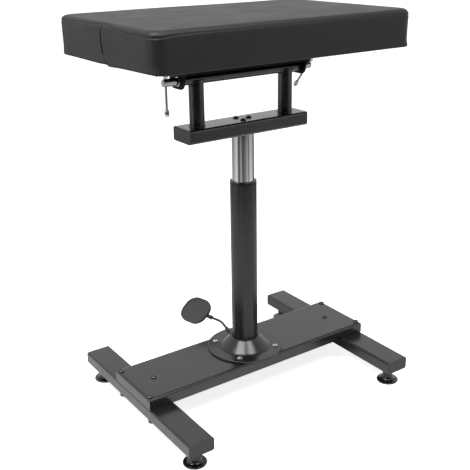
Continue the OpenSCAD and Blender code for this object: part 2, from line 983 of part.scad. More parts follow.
module gas_spring_cylinder() {
    color(powder_black)
        difference() {
            union() {
                translate([0, 0, spring_bottom_z])
                    rod(spring_r, spring_l);
                translate([0, 0, spring_top_z])
                    rod(rod_r, bar_bottom_z - spring_top_z - slip_gap);
            }
            translate([0, 0, spring_bottom_z + spring_cap_h])
                rod(spring_bore_r, spring_l - 2 * spring_cap_h);
            translate([0, 0, spring_bottom_z - overrun])
                rod(rod_r + running_fit, spring_cap_h + 2 * overrun);
        }
}

// Head frame

module crossbar() {
    color(powder_black)
        difference() {
            translate([0, 0, bar_bottom_z + bar_h / 2])
                rotate([0, 0, 90])
                    box_tube(bar_l - 2 * cap_t, bar_w, bar_h, bar_wall, bar_corner_r);
            at_bar_screws()
                translate([0, 0, bar_bottom_z - overrun])
                    rod(bolt_d / 2 + screw_fit, bar_h + 2 * overrun);
        }
}

module crossbar_caps() {
    color(plastic_black)
        for (turn = [90, 270])
            translate([0, 0, bar_bottom_z + bar_h / 2])
                rotate([0, 0, turn])
                    translate([0, bar_l / 2, 0])
                        tube_cap(bar_w, bar_h, bar_wall, bar_corner_r);
}

module crossbar_screws() {
    color(powder_black)
        at_bar_screws()
            translate([0, 0, bar_top_z])
                domed_screw(bolt_d, bar_h + head_h * 0.7, bolt_head_r, bolt_head_h);
}

module post(side) {
    color(powder_black)
        difference() {
            translate([side * post_x, 0, bar_top_z])
                tube(post_r, post_r - post_wall, tilt_rise);
            translate([0, 0, axis_z])
                rotate([0, 90, 0])
                    translate([0, 0, -tilt_l])
                        rod(tilt_r + weld_gap, 2 * tilt_l);
        }
}

module left_post() {
    post(-1);
}

module right_post() {
    post(1);
}

// The tilt axis, with Z turned along +X
module at_axis() {
    translate([0, 0, axis_z])
        rotate([0, 90, 0])
            children();
}

module tilt_tube() {
    color(powder_black)
        at_axis()
            translate([0, 0, -tilt_l / 2])
                tube(tilt_r, tilt_r - tilt_wall, tilt_l);
}

module tilt_tube_inserts() {
    color(zinc_silver)
        at_axis()
            for (side = [-1, 1])
                translate([0, 0, side * (tilt_l / 2 - insert_len / 2) - insert_len / 2])
                    tube(tilt_r - tilt_wall - seat_gap, clamp_r + running_fit, insert_len);
}

// Tilt bracket

// The point where a line from an outside point touches a circle, on the outer side
function touch_point(from, centre, r) =
    let (
        to = centre - from,
        gap = norm(to),
        swing = asin(r / gap),
        reach = sqrt(gap * gap - r * r),
        way = atan2(to[1], to[0]) + swing
    )
    from + reach * [cos(way), sin(way)];

// The ear's outline, with Y across and the tilt axis at zero
module ear_outline() {
    top = [bracket_w / 2, bracket_rise - bracket_t];
    centre = [ear_round_y, ear_round_z];
    touch = touch_point(top, centre, ear_round_r);
    mirrored = [-touch[0], touch[1]];
    polygon([
        [-top[0], top[1]], mirrored, [-ear_round_y, -ear_drop],
        [ear_round_y, -ear_drop], touch, top
    ]);
    for (side = [-1, 1])
        translate([side * centre[0], centre[1]])
            circle(ear_round_r, $fn = small_fn);
}

module tilt_bracket() {
    web_bottom = bracket_rise - bracket_t;
    wall_bottom = bracket_rise - bracket_h;
    color(powder_black)
        translate([0, 0, axis_z])
            difference() {
                union() {
                    translate([-bracket_l / 2, bracket_y - bracket_w / 2, web_bottom])
                        cube([bracket_l, bracket_w, bracket_t]);
                    for (side = [-1, 1]) {
                        translate([-bracket_l / 2,
                                bracket_y + side * (bracket_w - bracket_t) / 2 - bracket_t / 2,
                                wall_bottom])
                            cube([bracket_l, bracket_t, bracket_h - bracket_t / 2]);
                        translate([side * (ear_x + ear_t / 2) - ear_t / 2, bracket_y, 0])
                            rotate([90, 0, 90])
                                linear_extrude(ear_t)
                                    ear_outline();
                    }
                }
                rotate([0, 90, 0])
                    translate([0, 0, -bracket_l])
                        rod(clamp_r + screw_fit, 2 * bracket_l);
                for (place = bracket_places)
                    translate([place[0], place[1], web_bottom - overrun])
                        rod(bracket_screw_d / 2 + screw_fit, bracket_t + 2 * overrun);
            }
}

module bracket_screws() {
    color(zinc_silver)
        for (place = bracket_places)
            translate([place[0], place[1], board_bottom_z - bracket_t])
                rotate([180, 0, 0])
                    domed_screw(bracket_screw_d, bracket_t + board_t - tee_nut_t,
                        bracket_screw_d, bracket_screw_d * 0.55);
}

module board_tee_nuts() {
    barrel_r = bracket_screw_d / 2 + tee_nut_t;
    color(zinc_silver)
        for (place = bracket_places)
            translate([place[0], place[1], board_bottom_z])
                difference() {
                    union() {
                        translate([0, 0, board_t / 4])
                            rod(barrel_r, board_t * 3 / 4);
                        translate([0, 0, board_t - tee_nut_t])
                            rod(tee_nut_r, tee_nut_t);
                    }
                    rod(bracket_screw_d / 2 + seat_gap, board_t + overrun);
                }
}

// Rest

module pad_board() {
    color(wood_tone)
        difference() {
            translate([pad_off_x, pad_off_y, board_bottom_z])
                linear_extrude(board_t)
                    rounded_rect(pad_l - 2 * board_inset, pad_w - 2 * board_inset,
                        pad_corner_r - board_inset / 2);
            for (place = bracket_places)
                translate([place[0], place[1], board_bottom_z - overrun]) {
                    rod(bracket_screw_d / 2 + tee_nut_t + seat_gap, board_t + 2 * overrun);
                    translate([0, 0, board_t - tee_nut_t + overrun - seat_gap])
                        rod(tee_nut_r + seat_gap, tee_nut_t + overrun);
                }
        }
}

// One ring of the rest: its outline drawn in by inset, at height z. The long sides
// and the ends have points of their own, so that the crown can rise over them.
function ring_points(inset, z) =
    let (
        l = pad_l / 2 - inset,
        w = pad_w / 2 - inset,
        r = max(pad_corner_r - inset / 2, side_inset_max / 4)
    )
    [
        for (quarter = [0 : 3], step = [0 : corner_steps])
            let (
                angle = (quarter + step / corner_steps) * 90,
                sx = quarter == 0 || quarter == 3 ? 1 : -1,
                sy = quarter < 2 ? 1 : -1
            )
            [sx * (l - r) + r * cos(angle), sy * (w - r) + r * sin(angle), z]
    ];

// The crown's height at a share of the way in from the edge
function crown_rise(share) = pad_crown * sin(90 * share);

module pad_solid() {
    ring_n = 4 * (corner_steps + 1);
    half_w = pad_w / 2 - side_inset_max;
    side_rings = [
        for (i = [0 : len(side_height_shares) - 1])
            ring_points(side_inset_shares[i] * side_inset_max, side_height_shares[i] * pad_edge_h)
    ];
    crown_rings = [
        for (share = crown_in_shares)
            ring_points(side_inset_max + half_w * share, pad_edge_h + crown_rise(share))
    ];
    rings = concat(side_rings, crown_rings);
    last = len(rings) - 1;
    points = [for (ring = rings, p = ring) p];
    walls = [
        for (i = [0 : last - 1], j = [0 : ring_n - 1])
            let (
                a = i * ring_n + j,
                b = i * ring_n + (j + 1) % ring_n
            )
            each [[a, a + ring_n, b + ring_n], [a, b + ring_n, b]]
    ];
    floor_face = [[for (j = [0 : ring_n - 1]) j]];
    top_face = [[for (j = [ring_n - 1 : -1 : 0]) last * ring_n + j]];
    polyhedron(points, concat(walls, floor_face, top_face));
}

module pad_cushion() {
    pocket_l = pad_l - 2 * (board_inset - pocket_gap);
    pocket_w = pad_w - 2 * (board_inset - pocket_gap);
    color(leather_black)
        translate([pad_off_x, pad_off_y, pad_bottom_z])
            difference() {
                pad_solid();
                translate([-pocket_l / 2, -pocket_w / 2, hem_t])
                    cube([pocket_l, pocket_w, board_t + pocket_gap]);
                translate([-pocket_l / 2 + hem_w, -pocket_w / 2 + hem_w, -overrun])
                    cube([pocket_l - 2 * hem_w, pocket_w - 2 * hem_w, hem_t + 2 * overrun]);
            }
}

// Clamp screws

module clamp_screw(side, head_l) {
    thread_end = tilt_l / 2 - clamp_thread_in;
    color(chrome_silver)
        mirror([side < 0 ? 1 : 0, 0, 0])
            difference() {
                at_axis() {
                    translate([0, 0, thread_end])
                        rod(clamp_r, clamp_head_x - thread_end + clamp_chamfer);
                    translate([0, 0, clamp_head_x])
                        rod(clamp_head_r, head_l - clamp_chamfer);
                    translate([0, 0, clamp_head_x + head_l - clamp_chamfer])
                        cylinder(r1 = clamp_head_r, r2 = clamp_head_r - clamp_chamfer,
                            h = clamp_chamfer, $fn = round_fn);
                }
                cross_frame(head_l, side < 0 ? left_cross_turn : right_cross_turn)
                    translate([0, 0, -clamp_head_d])
                        rod(cross_r + running_fit, 2 * clamp_head_d);
            }
}

// The cross bar's own frame on the right-hand side: Z up along the bar, turned from hanging
module cross_frame(head_l, turn) {
    translate([clamp_head_x + head_l - cross_inset, 0, axis_z])
        rotate([turn, 0, 0])
            children();
}

module clamp_washer(side) {
    color(zinc_silver)
        mirror([side < 0 ? 1 : 0, 0, 0])
            at_axis()
                translate([0, 0, clamp_head_x - seat_gap - clamp_washer_t])
                    tube(clamp_washer_r, clamp_r + seat_gap, clamp_washer_t);
}

module cross_bar(side, head_l, turn) {
    cap_hold = cross_cap_l / 2;
    color(chrome_silver)
        mirror([side < 0 ? 1 : 0, 0, 0])
            cross_frame(head_l, turn)
                translate([0, 0, cross_bottom + cap_hold])
                    rod(cross_r, cross_l - 2 * cap_hold);
}

// A cap whose mouth is at zero and whose tip points up
module cross_cap() {
    difference() {
        rotate_extrude($fn = small_fn)
            polygon([
                [0, 0], [cross_cap_r * cap_neck_share, 0],
                [cross_cap_r, cross_cap_l * cap_tip_share],
                [cross_cap_r, cross_cap_l * (1 - cap_tip_share)],
                [cross_cap_r * cap_neck_share, cross_cap_l], [0, cross_cap_l]
            ]);
        translate([0, 0, -overrun])
            rod(cross_r + seat_gap, cross_cap_l / 2 + overrun + seat_gap);
    }
}

module cross_caps(side, head_l, turn) {
    color(chrome_silver)
        mirror([side < 0 ? 1 : 0, 0, 0])
            cross_frame(head_l, turn) {
                translate([0, 0, cross_top - cross_cap_l])
                    cross_cap();
                translate([0, 0, cross_bottom + cross_cap_l])
                    mirror([0, 0, 1])
                        cross_cap();
            }
}

module left_clamp_screw() {
    clamp_screw(-1, left_head_l);
}

module left_clamp_washer() {
    clamp_washer(-1);
}

module left_cross_bar() {
    cross_bar(-1, left_head_l, left_cross_turn);
}

module left_cross_caps() {
    cross_caps(-1, left_head_l, left_cross_turn);
}

module right_clamp_screw() {
    clamp_screw(1, right_head_l);
}

module right_clamp_washer() {
    clamp_washer(1);
}

module right_cross_bar() {
    cross_bar(1, right_head_l, right_cross_turn);
}

module right_cross_caps() {
    cross_caps(1, right_head_l, right_cross_turn);
}

base_plate();
left_foot_tube();
right_foot_tube();
foot_tube_caps();
foot_inserts();
plate_bolts();
plate_nuts();
column_flange();
flange_screws();
flange_nuts();
outer_column();
guide_bush();
spring_seat();
pivot_pin();
thrust_washer();
gas_spring_rod();
rod_clip();
release_pin();
release_rocker();
pedal_lever();
lever_ferrule();
pedal_clip();
pedal_plate();
pedal_pad();
inner_column();
glide_ring();
column_head();
gas_spring_cylinder();
crossbar();
crossbar_caps();
crossbar_screws();
left_post();
right_post();
tilt_tube();
tilt_tube_inserts();
tilt_bracket();
bracket_screws();
board_tee_nuts();
pad_board();
pad_cushion();
left_clamp_screw();
left_clamp_washer();
left_cross_bar();
left_cross_caps();
right_clamp_screw();
right_clamp_washer();
right_cross_bar();
right_cross_caps();
front_left_foot();
front_left_stem();
front_right_foot();
front_right_stem();
back_left_foot();
back_left_stem();
back_right_foot();
back_right_stem();
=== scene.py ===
"""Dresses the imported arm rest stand: finishes for its metal, plastic and leather, the stuffed
rest and its seams, the small pieces that the solids leave out, and the studio around it.

Lengths are in metres where nothing else is said, in the model's own frame: the floor is at
zero, Z is up, X runs along the rest and Y points to the back.
"""

import logging
import math
from dataclasses import dataclass, field, replace
from enum import Enum
from typing import Iterable, Optional, Sequence

import bmesh
import bpy
import numpy as np
from mathutils import Matrix, Vector


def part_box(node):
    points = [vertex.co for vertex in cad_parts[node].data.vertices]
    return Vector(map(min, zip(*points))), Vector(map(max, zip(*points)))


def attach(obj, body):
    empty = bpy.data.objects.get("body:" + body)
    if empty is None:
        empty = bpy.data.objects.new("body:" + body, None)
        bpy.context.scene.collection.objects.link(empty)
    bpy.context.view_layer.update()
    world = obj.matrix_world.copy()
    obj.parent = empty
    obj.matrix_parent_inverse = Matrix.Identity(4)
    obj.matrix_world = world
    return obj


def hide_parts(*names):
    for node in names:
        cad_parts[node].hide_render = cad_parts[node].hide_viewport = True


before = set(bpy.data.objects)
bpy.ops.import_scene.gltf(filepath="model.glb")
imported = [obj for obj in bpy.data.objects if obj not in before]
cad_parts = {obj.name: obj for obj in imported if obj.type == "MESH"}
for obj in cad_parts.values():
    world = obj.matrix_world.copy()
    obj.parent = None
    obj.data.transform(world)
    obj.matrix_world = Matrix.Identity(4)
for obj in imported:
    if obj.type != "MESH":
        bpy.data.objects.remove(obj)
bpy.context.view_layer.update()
LOG = logging.getLogger("arm_rest_stand")
MM = 0.001


class Body(Enum):
    """The bodies of the stand that its new pieces ride on."""

    BASE = "base"
    LIFT = "lift"
    PAD = "pad"


class Side(Enum):
    """The two sides of the head frame."""

    LEFT = "left"
    RIGHT = "right"


class Effect(Enum):
    """The effects that more than one finish uses, each made as a node group of its name."""

    GRAIN = "Grain"
    SCUFFS = "Scuffs"
    EDGES = "Edge wear"


def grid_faces(rows: int, cols: int, wrap_cols: bool, wrap_rows: bool = False) -> np.ndarray:
    """Quads of a grid of rows by cols points stored row by row.

    Args:
        rows: number of rows.
        cols: number of points in a row.
        wrap_cols: joins the last column to the first.
        wrap_rows: joins the last row to the first.

    Returns:
        An array of quads, each of four point numbers.
    """
    r = np.arange(rows if wrap_rows else rows - 1)
    c = np.arange(cols if wrap_cols else cols - 1)
    rr, cc = np.meshgrid(r, c, indexing="ij")
    r1, c1 = (rr + 1) % rows, (cc + 1) % cols
    return np.stack([rr * cols + cc, rr * cols + c1, r1 * cols + c1, r1 * cols + cc], -1).reshape(-1, 4)


def make_object(name: str, points: np.ndarray, faces: Sequence[Sequence[int]]) -> bpy.types.Object:
    """Puts points and faces into a new smooth mesh object that stands at the origin.

    Args:
        name: the piece's name.
        points: point places, one row each.
        faces: faces as lists of point numbers.

    Returns:
        The new object.
    """
    mesh = bpy.data.meshes.new(name)
    mesh.from_pydata(np.asarray(points, float).tolist(), [], [list(map(int, f)) for f in faces])
    mesh.polygons.foreach_set("use_smooth", np.full(len(mesh.polygons), True))
    mesh.update()
    obj = bpy.data.objects.new(name, mesh)
    bpy.context.scene.collection.objects.link(obj)
    return obj


def outward(obj: bpy.types.Object, merge: float = 1e-6) -> bpy.types.Object:
    """Merges doubled points and turns every face outwards.

    Args:
        obj: the piece.
        merge: the distance under which points are one.

    Returns:
        The same piece.
    """
    bm = bmesh.new()
    bm.from_mesh(obj.data)
    bmesh.ops.remove_doubles(bm, verts=bm.verts, dist=merge)
    bmesh.ops.recalc_face_normals(bm, faces=bm.faces)
    bm.to_mesh(obj.data)
    bm.free()
    return obj


def tube_along(path: np.ndarray, radius: np.ndarray | float, reference: np.ndarray, sides: int = 16,
               closed: bool = False) -> tuple[np.ndarray, list]:
    """Carries a circle along a path.

    Each ring is centre + radius (cos t side + sin t lift). The side is square to the path's
    direction and to the reference, and the lift is square to both.

    Args:
        path: points of the path.
        radius: one radius, or one for each point.
        reference: a direction that the path never takes.
        sides: points round each ring.
        closed: joins the last ring to the first.

    Returns:
        The points and the faces.
    """
    path = np.asarray(path, float)
    ahead = np.roll(path, -1, 0) - np.roll(path, 1, 0) if closed else np.gradient(path, axis=0)
    ahead /= np.linalg.norm(ahead, axis=1, keepdims=True)
    side = np.cross(ahead, reference)
    side /= np.linalg.norm(side, axis=1, keepdims=True)
    lift = np.cross(side, ahead)
    turn = np.linspace(0, 2 * np.pi, sides, endpoint=False)
    r = np.broadcast_to(np.asarray(radius, float), (len(path),))[:, None, None]
    ring = np.cos(turn)[None, :, None] * side[:, None] + np.sin(turn)[None, :, None] * lift[:, None]
    points = (path[:, None] + r * ring).reshape(-1, 3)
    faces = grid_faces(len(path), sides, True, closed).tolist()
    if not closed:
        last = (len(path) - 1) * sides
        faces += [list(range(sides))[::-1], list(range(last, last + sides))]
    return points, faces


def turned(radius: Sequence[float], height: Sequence[float], angle: np.ndarray) -> np.ndarray:
    """Turns a profile about Z, so that each point is (r cos a, r sin a, h).

    Args:
        radius: the profile's radii, one for each row.
        height: the profile's heights, one for each row.
        angle: the angles, one for each column.

    Returns:
        The points, row by row.
    """
    r, h = np.asarray(radius, float)[:, None], np.asarray(height, float)[:, None]
    level = np.broadcast_to(h, (len(h), len(angle)))
    return np.stack([r * np.cos(angle), r * np.sin(angle), level], -1).reshape(-1, 3)


def point_array(mesh: bpy.types.Mesh) -> np.ndarray:
    """Reads a mesh's points.

    Args:
        mesh: the mesh.

    Returns:
        Rows of X, Y and Z.
    """
    flat = np.empty(len(mesh.vertices) * 3, np.float32)
    mesh.vertices.foreach_get("co", flat)
    return flat.reshape(-1, 3).astype(float)


def set_points(mesh: bpy.types.Mesh, points: np.ndarray) -> None:
    """Puts rows of X, Y and Z back into a mesh."""
    mesh.vertices.foreach_set("co", np.asarray(points, np.float32).ravel())
    mesh.update()


def joined(parts: Iterable[tuple[np.ndarray, Sequence]]) -> tuple[np.ndarray, list]:
    """Puts several sets of points and faces into one.

    Args:
        parts: pairs of points and faces.

    Returns:
        All the points and all the faces.
    """
    points, faces, start = [], [], 0
    for p, f in parts:
        points.append(p)
        faces += [[int(i) + start for i in face] for face in f]
        start += len(p)
    return np.concatenate(points), faces


class Tree:
    """Short ways to add and join nodes in a node tree."""

    def __init__(self, tree: bpy.types.NodeTree) -> None:
        """Keeps the tree that the nodes go into."""
        self.tree = tree

    def node(self, kind: str, inputs: Optional[dict] = None, **settings: object) -> bpy.types.Node:
        """Adds a node.

        Args:
            kind: the node's type name.
            inputs: values or sockets for its inputs, by name or number.
            settings: properties of the node.

        Returns:
            The node.
        """
        made = self.tree.nodes.new(kind)
        for key, value in settings.items():
            setattr(made, key, value)
        for key, value in (inputs or {}).items():
            self.put(made.inputs[key], value)
        return made

    def where(self) -> bpy.types.NodeSocket:
        """Gives the place on the piece, in the piece's own frame."""
        return self.node("ShaderNodeTexCoord").outputs["Object"]

    def put(self, socket: bpy.types.NodeSocket, value: object) -> None:
        """Joins a socket to an input, or sets the input's own value.

        Args:
            socket: the input.
            value: the socket to join to it, or its value.
        """
        if isinstance(value, bpy.types.NodeSocket):
            self.tree.links.new(value, socket)
        else:
            socket.default_value = value

    def math(self, operation: str, *values: object, clamp: bool = False) -> bpy.types.NodeSocket:
        """Adds a math node.

        Args:
            operation: what it works out.
            values: values or sockets for its inputs.
            clamp: keeps the result between zero and one.

        Returns:
            The result.
        """
        made = self.node("ShaderNodeMath", operation=operation, use_clamp=clamp)
        for i, value in enumerate(values):
            self.put(made.inputs[i], value)
        return made.outputs[0]

    def mix(self, factor: object, a: object, b: object) -> bpy.types.NodeSocket:
        """Mixes two colours.

        Args:
            factor: the second colour's share.
            a: the first colour.
            b: the second colour.

        Returns:
            The mixed colour.
        """
        made = self.node("ShaderNodeMix", data_type="RGBA")
        self.put(made.inputs[0], factor)
        self.put(made.inputs[6], a)
        self.put(made.inputs[7], b)
        return made.outputs[2]

    def ramp(self, value: object, low: float, high: float, to_low: float = 0.0,
             to_high: float = 1.0) -> bpy.types.NodeSocket:
        """Maps a value from low..high to to_low..to_high, smoothly and within them.

        Args:
            value: the value, or its socket.
            low: where the change starts.
            high: where the change ends.
            to_low: the result before the start.
            to_high: the result after the end.

        Returns:
            The result.
        """
        made = self.node("ShaderNodeMapRange", interpolation_type="SMOOTHSTEP")
        for i, v in enumerate((value, low, high, to_low, to_high)):
            self.put(made.inputs[i], v)
        return made.outputs[0]

    def steps(self, value: object, stops: Sequence[tuple[float, float]]) -> bpy.types.NodeSocket:
        """Maps a value through a grey scale of many stops.

        Args:
            value: the value, or its socket.
            stops: the stops, each a place and a grey.

        Returns:
            The grey.
        """
        made = self.node("ShaderNodeValToRGB", {0: value})
        places = made.color_ramp.elements
        for _ in range(len(stops) - 2):
            places.new(0.5)
        for element, (place, grey) in zip(places, sorted(stops)):
            element.position, element.color = place, (grey, grey, grey, 1)
        return made.outputs[0]


def new_material(name: str) -> tuple[bpy.types.Material, Tree, bpy.types.Node]:
    """Starts a material.

    Args:
        name: the material's name.

    Returns:
        The material, its tree and its Principled BSDF.
    """
    material = bpy.data.materials.new(name)
    material.use_nodes = True
    return material, Tree(material.node_tree), material.node_tree.nodes["Principled BSDF"]


def new_group(effect: Effect, inputs: dict[str, object], outputs: dict[str, str]) -> tuple[Tree, dict, dict]:
    """Starts a node group with named sockets.

    Args:
        effect: what the group is for.
        inputs: socket names with their default values.
        outputs: socket names with their socket types.

    Returns:
        The tree, the input sockets by name, and the group output's inputs by name.
    """
    group = bpy.data.node_groups.new(effect.value, "ShaderNodeTree")
    for key, value in inputs.items():
        kind = {float: "NodeSocketFloat", tuple: "NodeSocketColor"}.get(type(value), "NodeSocketVector")
        made = group.interface.new_socket(key, in_out="INPUT", socket_type=kind)
        if value is not None:
            made.default_value = value
    for key, kind in outputs.items():
        group.interface.new_socket(key, in_out="OUTPUT", socket_type=kind)
    entry, leave = group.nodes.new("NodeGroupInput"), group.nodes.new("NodeGroupOutput")
    return (Tree(group), {k: entry.outputs[k] for k in inputs}, {k: leave.inputs[k] for k in outputs})


def grain_group() -> bpy.types.NodeTree:
    """A fine grain: cells for hide or moulded texture, blended with soft noise.

    Returns:
        A group that gives the grain's height and a broad change of tone.
    """
    tree, put, out = new_group(
        Effect.GRAIN, {"Vector": None, "Scale": 900.0, "Cells": 0.5, "Detail": 3.0},
        {"Height": "NodeSocketFloat", "Tone": "NodeSocketFloat"})
    cells = tree.node("ShaderNodeTexVoronoi", {"Vector": put["Vector"], "Scale": put["Scale"]},
                      feature="SMOOTH_F1")
    noise = tree.node("ShaderNodeTexNoise", {"Vector": put["Vector"], "Scale": put["Scale"],
                                             "Detail": put["Detail"]})
    mixed = tree.node("ShaderNodeMix", {0: put["Cells"], 2: noise.outputs[0], 3: cells.outputs[0]})
    tree.put(out["Height"], mixed.outputs[0])
    broad = tree.node("ShaderNodeTexNoise", {"Vector": put["Vector"], "Scale": 14.0, "Detail": 4.0})
    tree.put(out["Tone"], broad.outputs[0])
    return tree.tree


def scuff_group() -> bpy.types.NodeTree:
    """Faint rubbed patches and hairline scratches.

    Returns:
        A group that gives their mask.
    """
    tree, put, out = new_group(Effect.SCUFFS, {"Vector": None, "Amount": 0.3, "Size": 30.0},
                               {"Mask": "NodeSocketFloat"})
    patch = tree.node("ShaderNodeTexNoise", {"Vector": put["Vector"], "Scale": put["Size"], "Detail": 6.0,
                                             "Roughness": 0.65})
    stretched = tree.node("ShaderNodeMapping", {"Vector": put["Vector"], "Rotation": (0.3, 0.5, 0.7),
                                                "Scale": (20.0, 700.0, 500.0)})
    hair = tree.node("ShaderNodeTexNoise", {"Vector": stretched.outputs[0], "Scale": 1.0, "Detail": 2.0})
    lines = tree.ramp(hair.outputs[0], 0.68, 0.74)
    worn = tree.ramp(patch.outputs[0], 0.5, 0.78)
    both = tree.math("MAXIMUM", worn, tree.math("MULTIPLY", lines, worn), clamp=True)
    tree.put(out["Mask"], tree.math("MULTIPLY", both, put["Amount"]))
    return tree.tree


def edge_group() -> bpy.types.NodeTree:
    """Wear on sharp outer edges, from the surface's pointiness.

    Returns:
        A group that gives its mask, one on the edges.
    """
    tree, put, out = new_group(Effect.EDGES, {"Width": 0.05, "Vector": None}, {"Mask": "NodeSocketFloat"})
    sharp = tree.node("ShaderNodeNewGeometry").outputs["Pointiness"]
    noise = tree.node("ShaderNodeTexNoise", {"Vector": put["Vector"], "Scale": 160.0, "Detail": 4.0})
    uneven = tree.math("MULTIPLY_ADD", noise.outputs[0], 0.06, -0.03)
    tree.put(out["Mask"], tree.ramp(tree.math("ADD", sharp, uneven), 0.55,
                                    tree.math("ADD", 0.6, put["Width"])))
    return tree.tree


MAKERS = {Effect.GRAIN: grain_group, Effect.SCUFFS: scuff_group, Effect.EDGES: edge_group}
GROUPS: dict[Effect, bpy.types.NodeTree] = {}


def group_node(tree: Tree, effect: Effect, inputs: dict) -> bpy.types.Node:
    """Places a shared node group in a material, making the group the first time.

    Args:
        tree: the material's tree.
        effect: which group.
        inputs: values or sockets for its inputs, by name.

    Returns:
        The group's node.
    """
    if effect not in GROUPS:
        GROUPS[effect] = MAKERS[effect]()
    made = tree.node("ShaderNodeGroup", node_tree=GROUPS[effect])
    for key, value in inputs.items():
        tree.put(made.inputs[key], value)
    return made


@dataclass(frozen=True)
class Finish:
    """A coat, metal, moulding or cloth, as one Principled surface with grain and wear."""

    name: str
    slot: str
    colour: tuple[float, float, float]
    worn_colour: tuple[float, float, float]
    roughness: float = 0.4
    rough_spread: float = 0.08
    metallic: float = 0.0
    specular: float = 0.5
    coat: float = 0.0
    coat_roughness: float = 0.05
    grain_scale: float = 900.0
    grain_cells: float = 0.3
    grain_depth: float = 0.02
    grain_size: float = 0.0002
    tone_spread: float = 0.12
    scuffs: float = 0.25
    scuff_size: float = 30.0
    scuff_roughness: float = 0.2
    edge_wear: float = 0.0

    def build(self) -> bpy.types.Material:
        """Makes the material.

        Returns:
            A material whose colour, roughness and normal come from shared node groups.
        """
        material, tree, shader = new_material(self.name)
        where = tree.where()
        grain = group_node(tree, Effect.GRAIN, {"Vector": where, "Scale": self.grain_scale,
                                                "Cells": self.grain_cells})
        scuff = group_node(tree, Effect.SCUFFS, {"Vector": where, "Amount": self.scuffs,
                                                 "Size": self.scuff_size})
        tone = tree.ramp(grain.outputs["Tone"], 0.3, 0.7, 1 - self.tone_spread, 1 + self.tone_spread)
        toned = tree.node("ShaderNodeVectorMath", {0: (*self.colour,), "Scale": tone}, operation="SCALE")
        colour = tree.mix(scuff.outputs["Mask"], toned.outputs[0], (*self.worn_colour, 1))
        if self.edge_wear > 0:
            edge = group_node(tree, Effect.EDGES, {"Vector": where})
            colour = tree.mix(tree.math("MULTIPLY", edge.outputs["Mask"], self.edge_wear), colour,
                              (*self.worn_colour, 1))
        rough = tree.math("MULTIPLY_ADD", tree.ramp(grain.outputs["Tone"], 0.35, 0.65), self.rough_spread,
                          self.roughness - self.rough_spread / 2)
        rough = tree.math("MULTIPLY_ADD", scuff.outputs["Mask"], self.scuff_roughness, rough, clamp=True)
        bump = tree.node("ShaderNodeBump", {"Height": self.relief(tree, where, grain.outputs["Height"]),
                                            "Strength": self.grain_depth, "Distance": self.grain_size})
        tree.put(shader.inputs["Base Color"], colour)
        tree.put(shader.inputs["Roughness"], rough)
        tree.put(shader.inputs["Normal"], bump.outputs[0])
        shader.inputs["Metallic"].default_value = self.metallic
        shader.inputs["Specular IOR Level"].default_value = self.specular
        shader.inputs["Coat Weight"].default_value = self.coat
        shader.inputs["Coat Roughness"].default_value = self.coat_roughness
        material.diffuse_color = (*self.colour, 1)
        return material

    def relief(self, tree: Tree, where: bpy.types.NodeSocket,
               grain: bpy.types.NodeSocket) -> bpy.types.NodeSocket:
        """Height that the bump reads, which is the grain on a plain finish.

        Args:
            tree: the material's tree.
            where: the place on the piece.
            grain: the grain's height.

        Returns:
            The height.
        """
        return grain


@dataclass(frozen=True)
class ThreadedFinish(Finish):
    """Plated steel with a thread cut in it, as rings along Z."""

    pitch: float = 0.00125

    def relief(self, tree: Tree, where: bpy.types.NodeSocket,
               grain: bpy.types.NodeSocket) -> bpy.types.NodeSocket:
        """Height of the thread, a triangle wave with the thread's pitch, plus the grain.

        Args:
            tree: the material's tree.
            where: the place on the piece.
            grain: the grain's height.

        Returns:
            The height.
        """
        parts = tree.node("ShaderNodeSeparateXYZ", {0: where})
        wave = tree.math("PINGPONG", parts.outputs["Z"], self.pitch / 2)
        return tree.math("MULTIPLY_ADD", grain, 0.1, tree.math("MULTIPLY", wave, 2 / self.pitch))


@dataclass(frozen=True)
class PlyFinish(Finish):
    """Raw plywood: long figure on the faces and thin layers on the edges."""

    layer: float = 0.0015

    def build(self) -> bpy.types.Material:
        """Makes the material.

        Returns:
            A material with stripes by height on the edges and stretched noise on the faces.
        """
        material = Finish.build(self)
        tree = Tree(material.node_tree)
        shader = material.node_tree.nodes["Principled BSDF"]
        where = tree.where()
        long = tree.node("ShaderNodeMapping", {"Vector": where, "Scale": (6.0, 90.0, 6.0)})
        figure = tree.node("ShaderNodeTexNoise", {"Vector": long.outputs[0], "Scale": 1.5, "Detail": 8.0,
                                                  "Distortion": 0.6})
        parts = tree.node("ShaderNodeSeparateXYZ", {0: where})
        layers = tree.ramp(tree.math("PINGPONG", parts.outputs[2], self.layer), 0.0004, 0.0011)
        streak = tree.math("MULTIPLY_ADD", figure.outputs[0], 0.7, tree.math("MULTIPLY", layers, 0.15))
        colour = tree.mix(tree.ramp(streak, 0.25, 0.6), (*self.worn_colour, 1), (*self.colour, 1))
        tree.put(shader.inputs["Base Color"], colour)
        return material


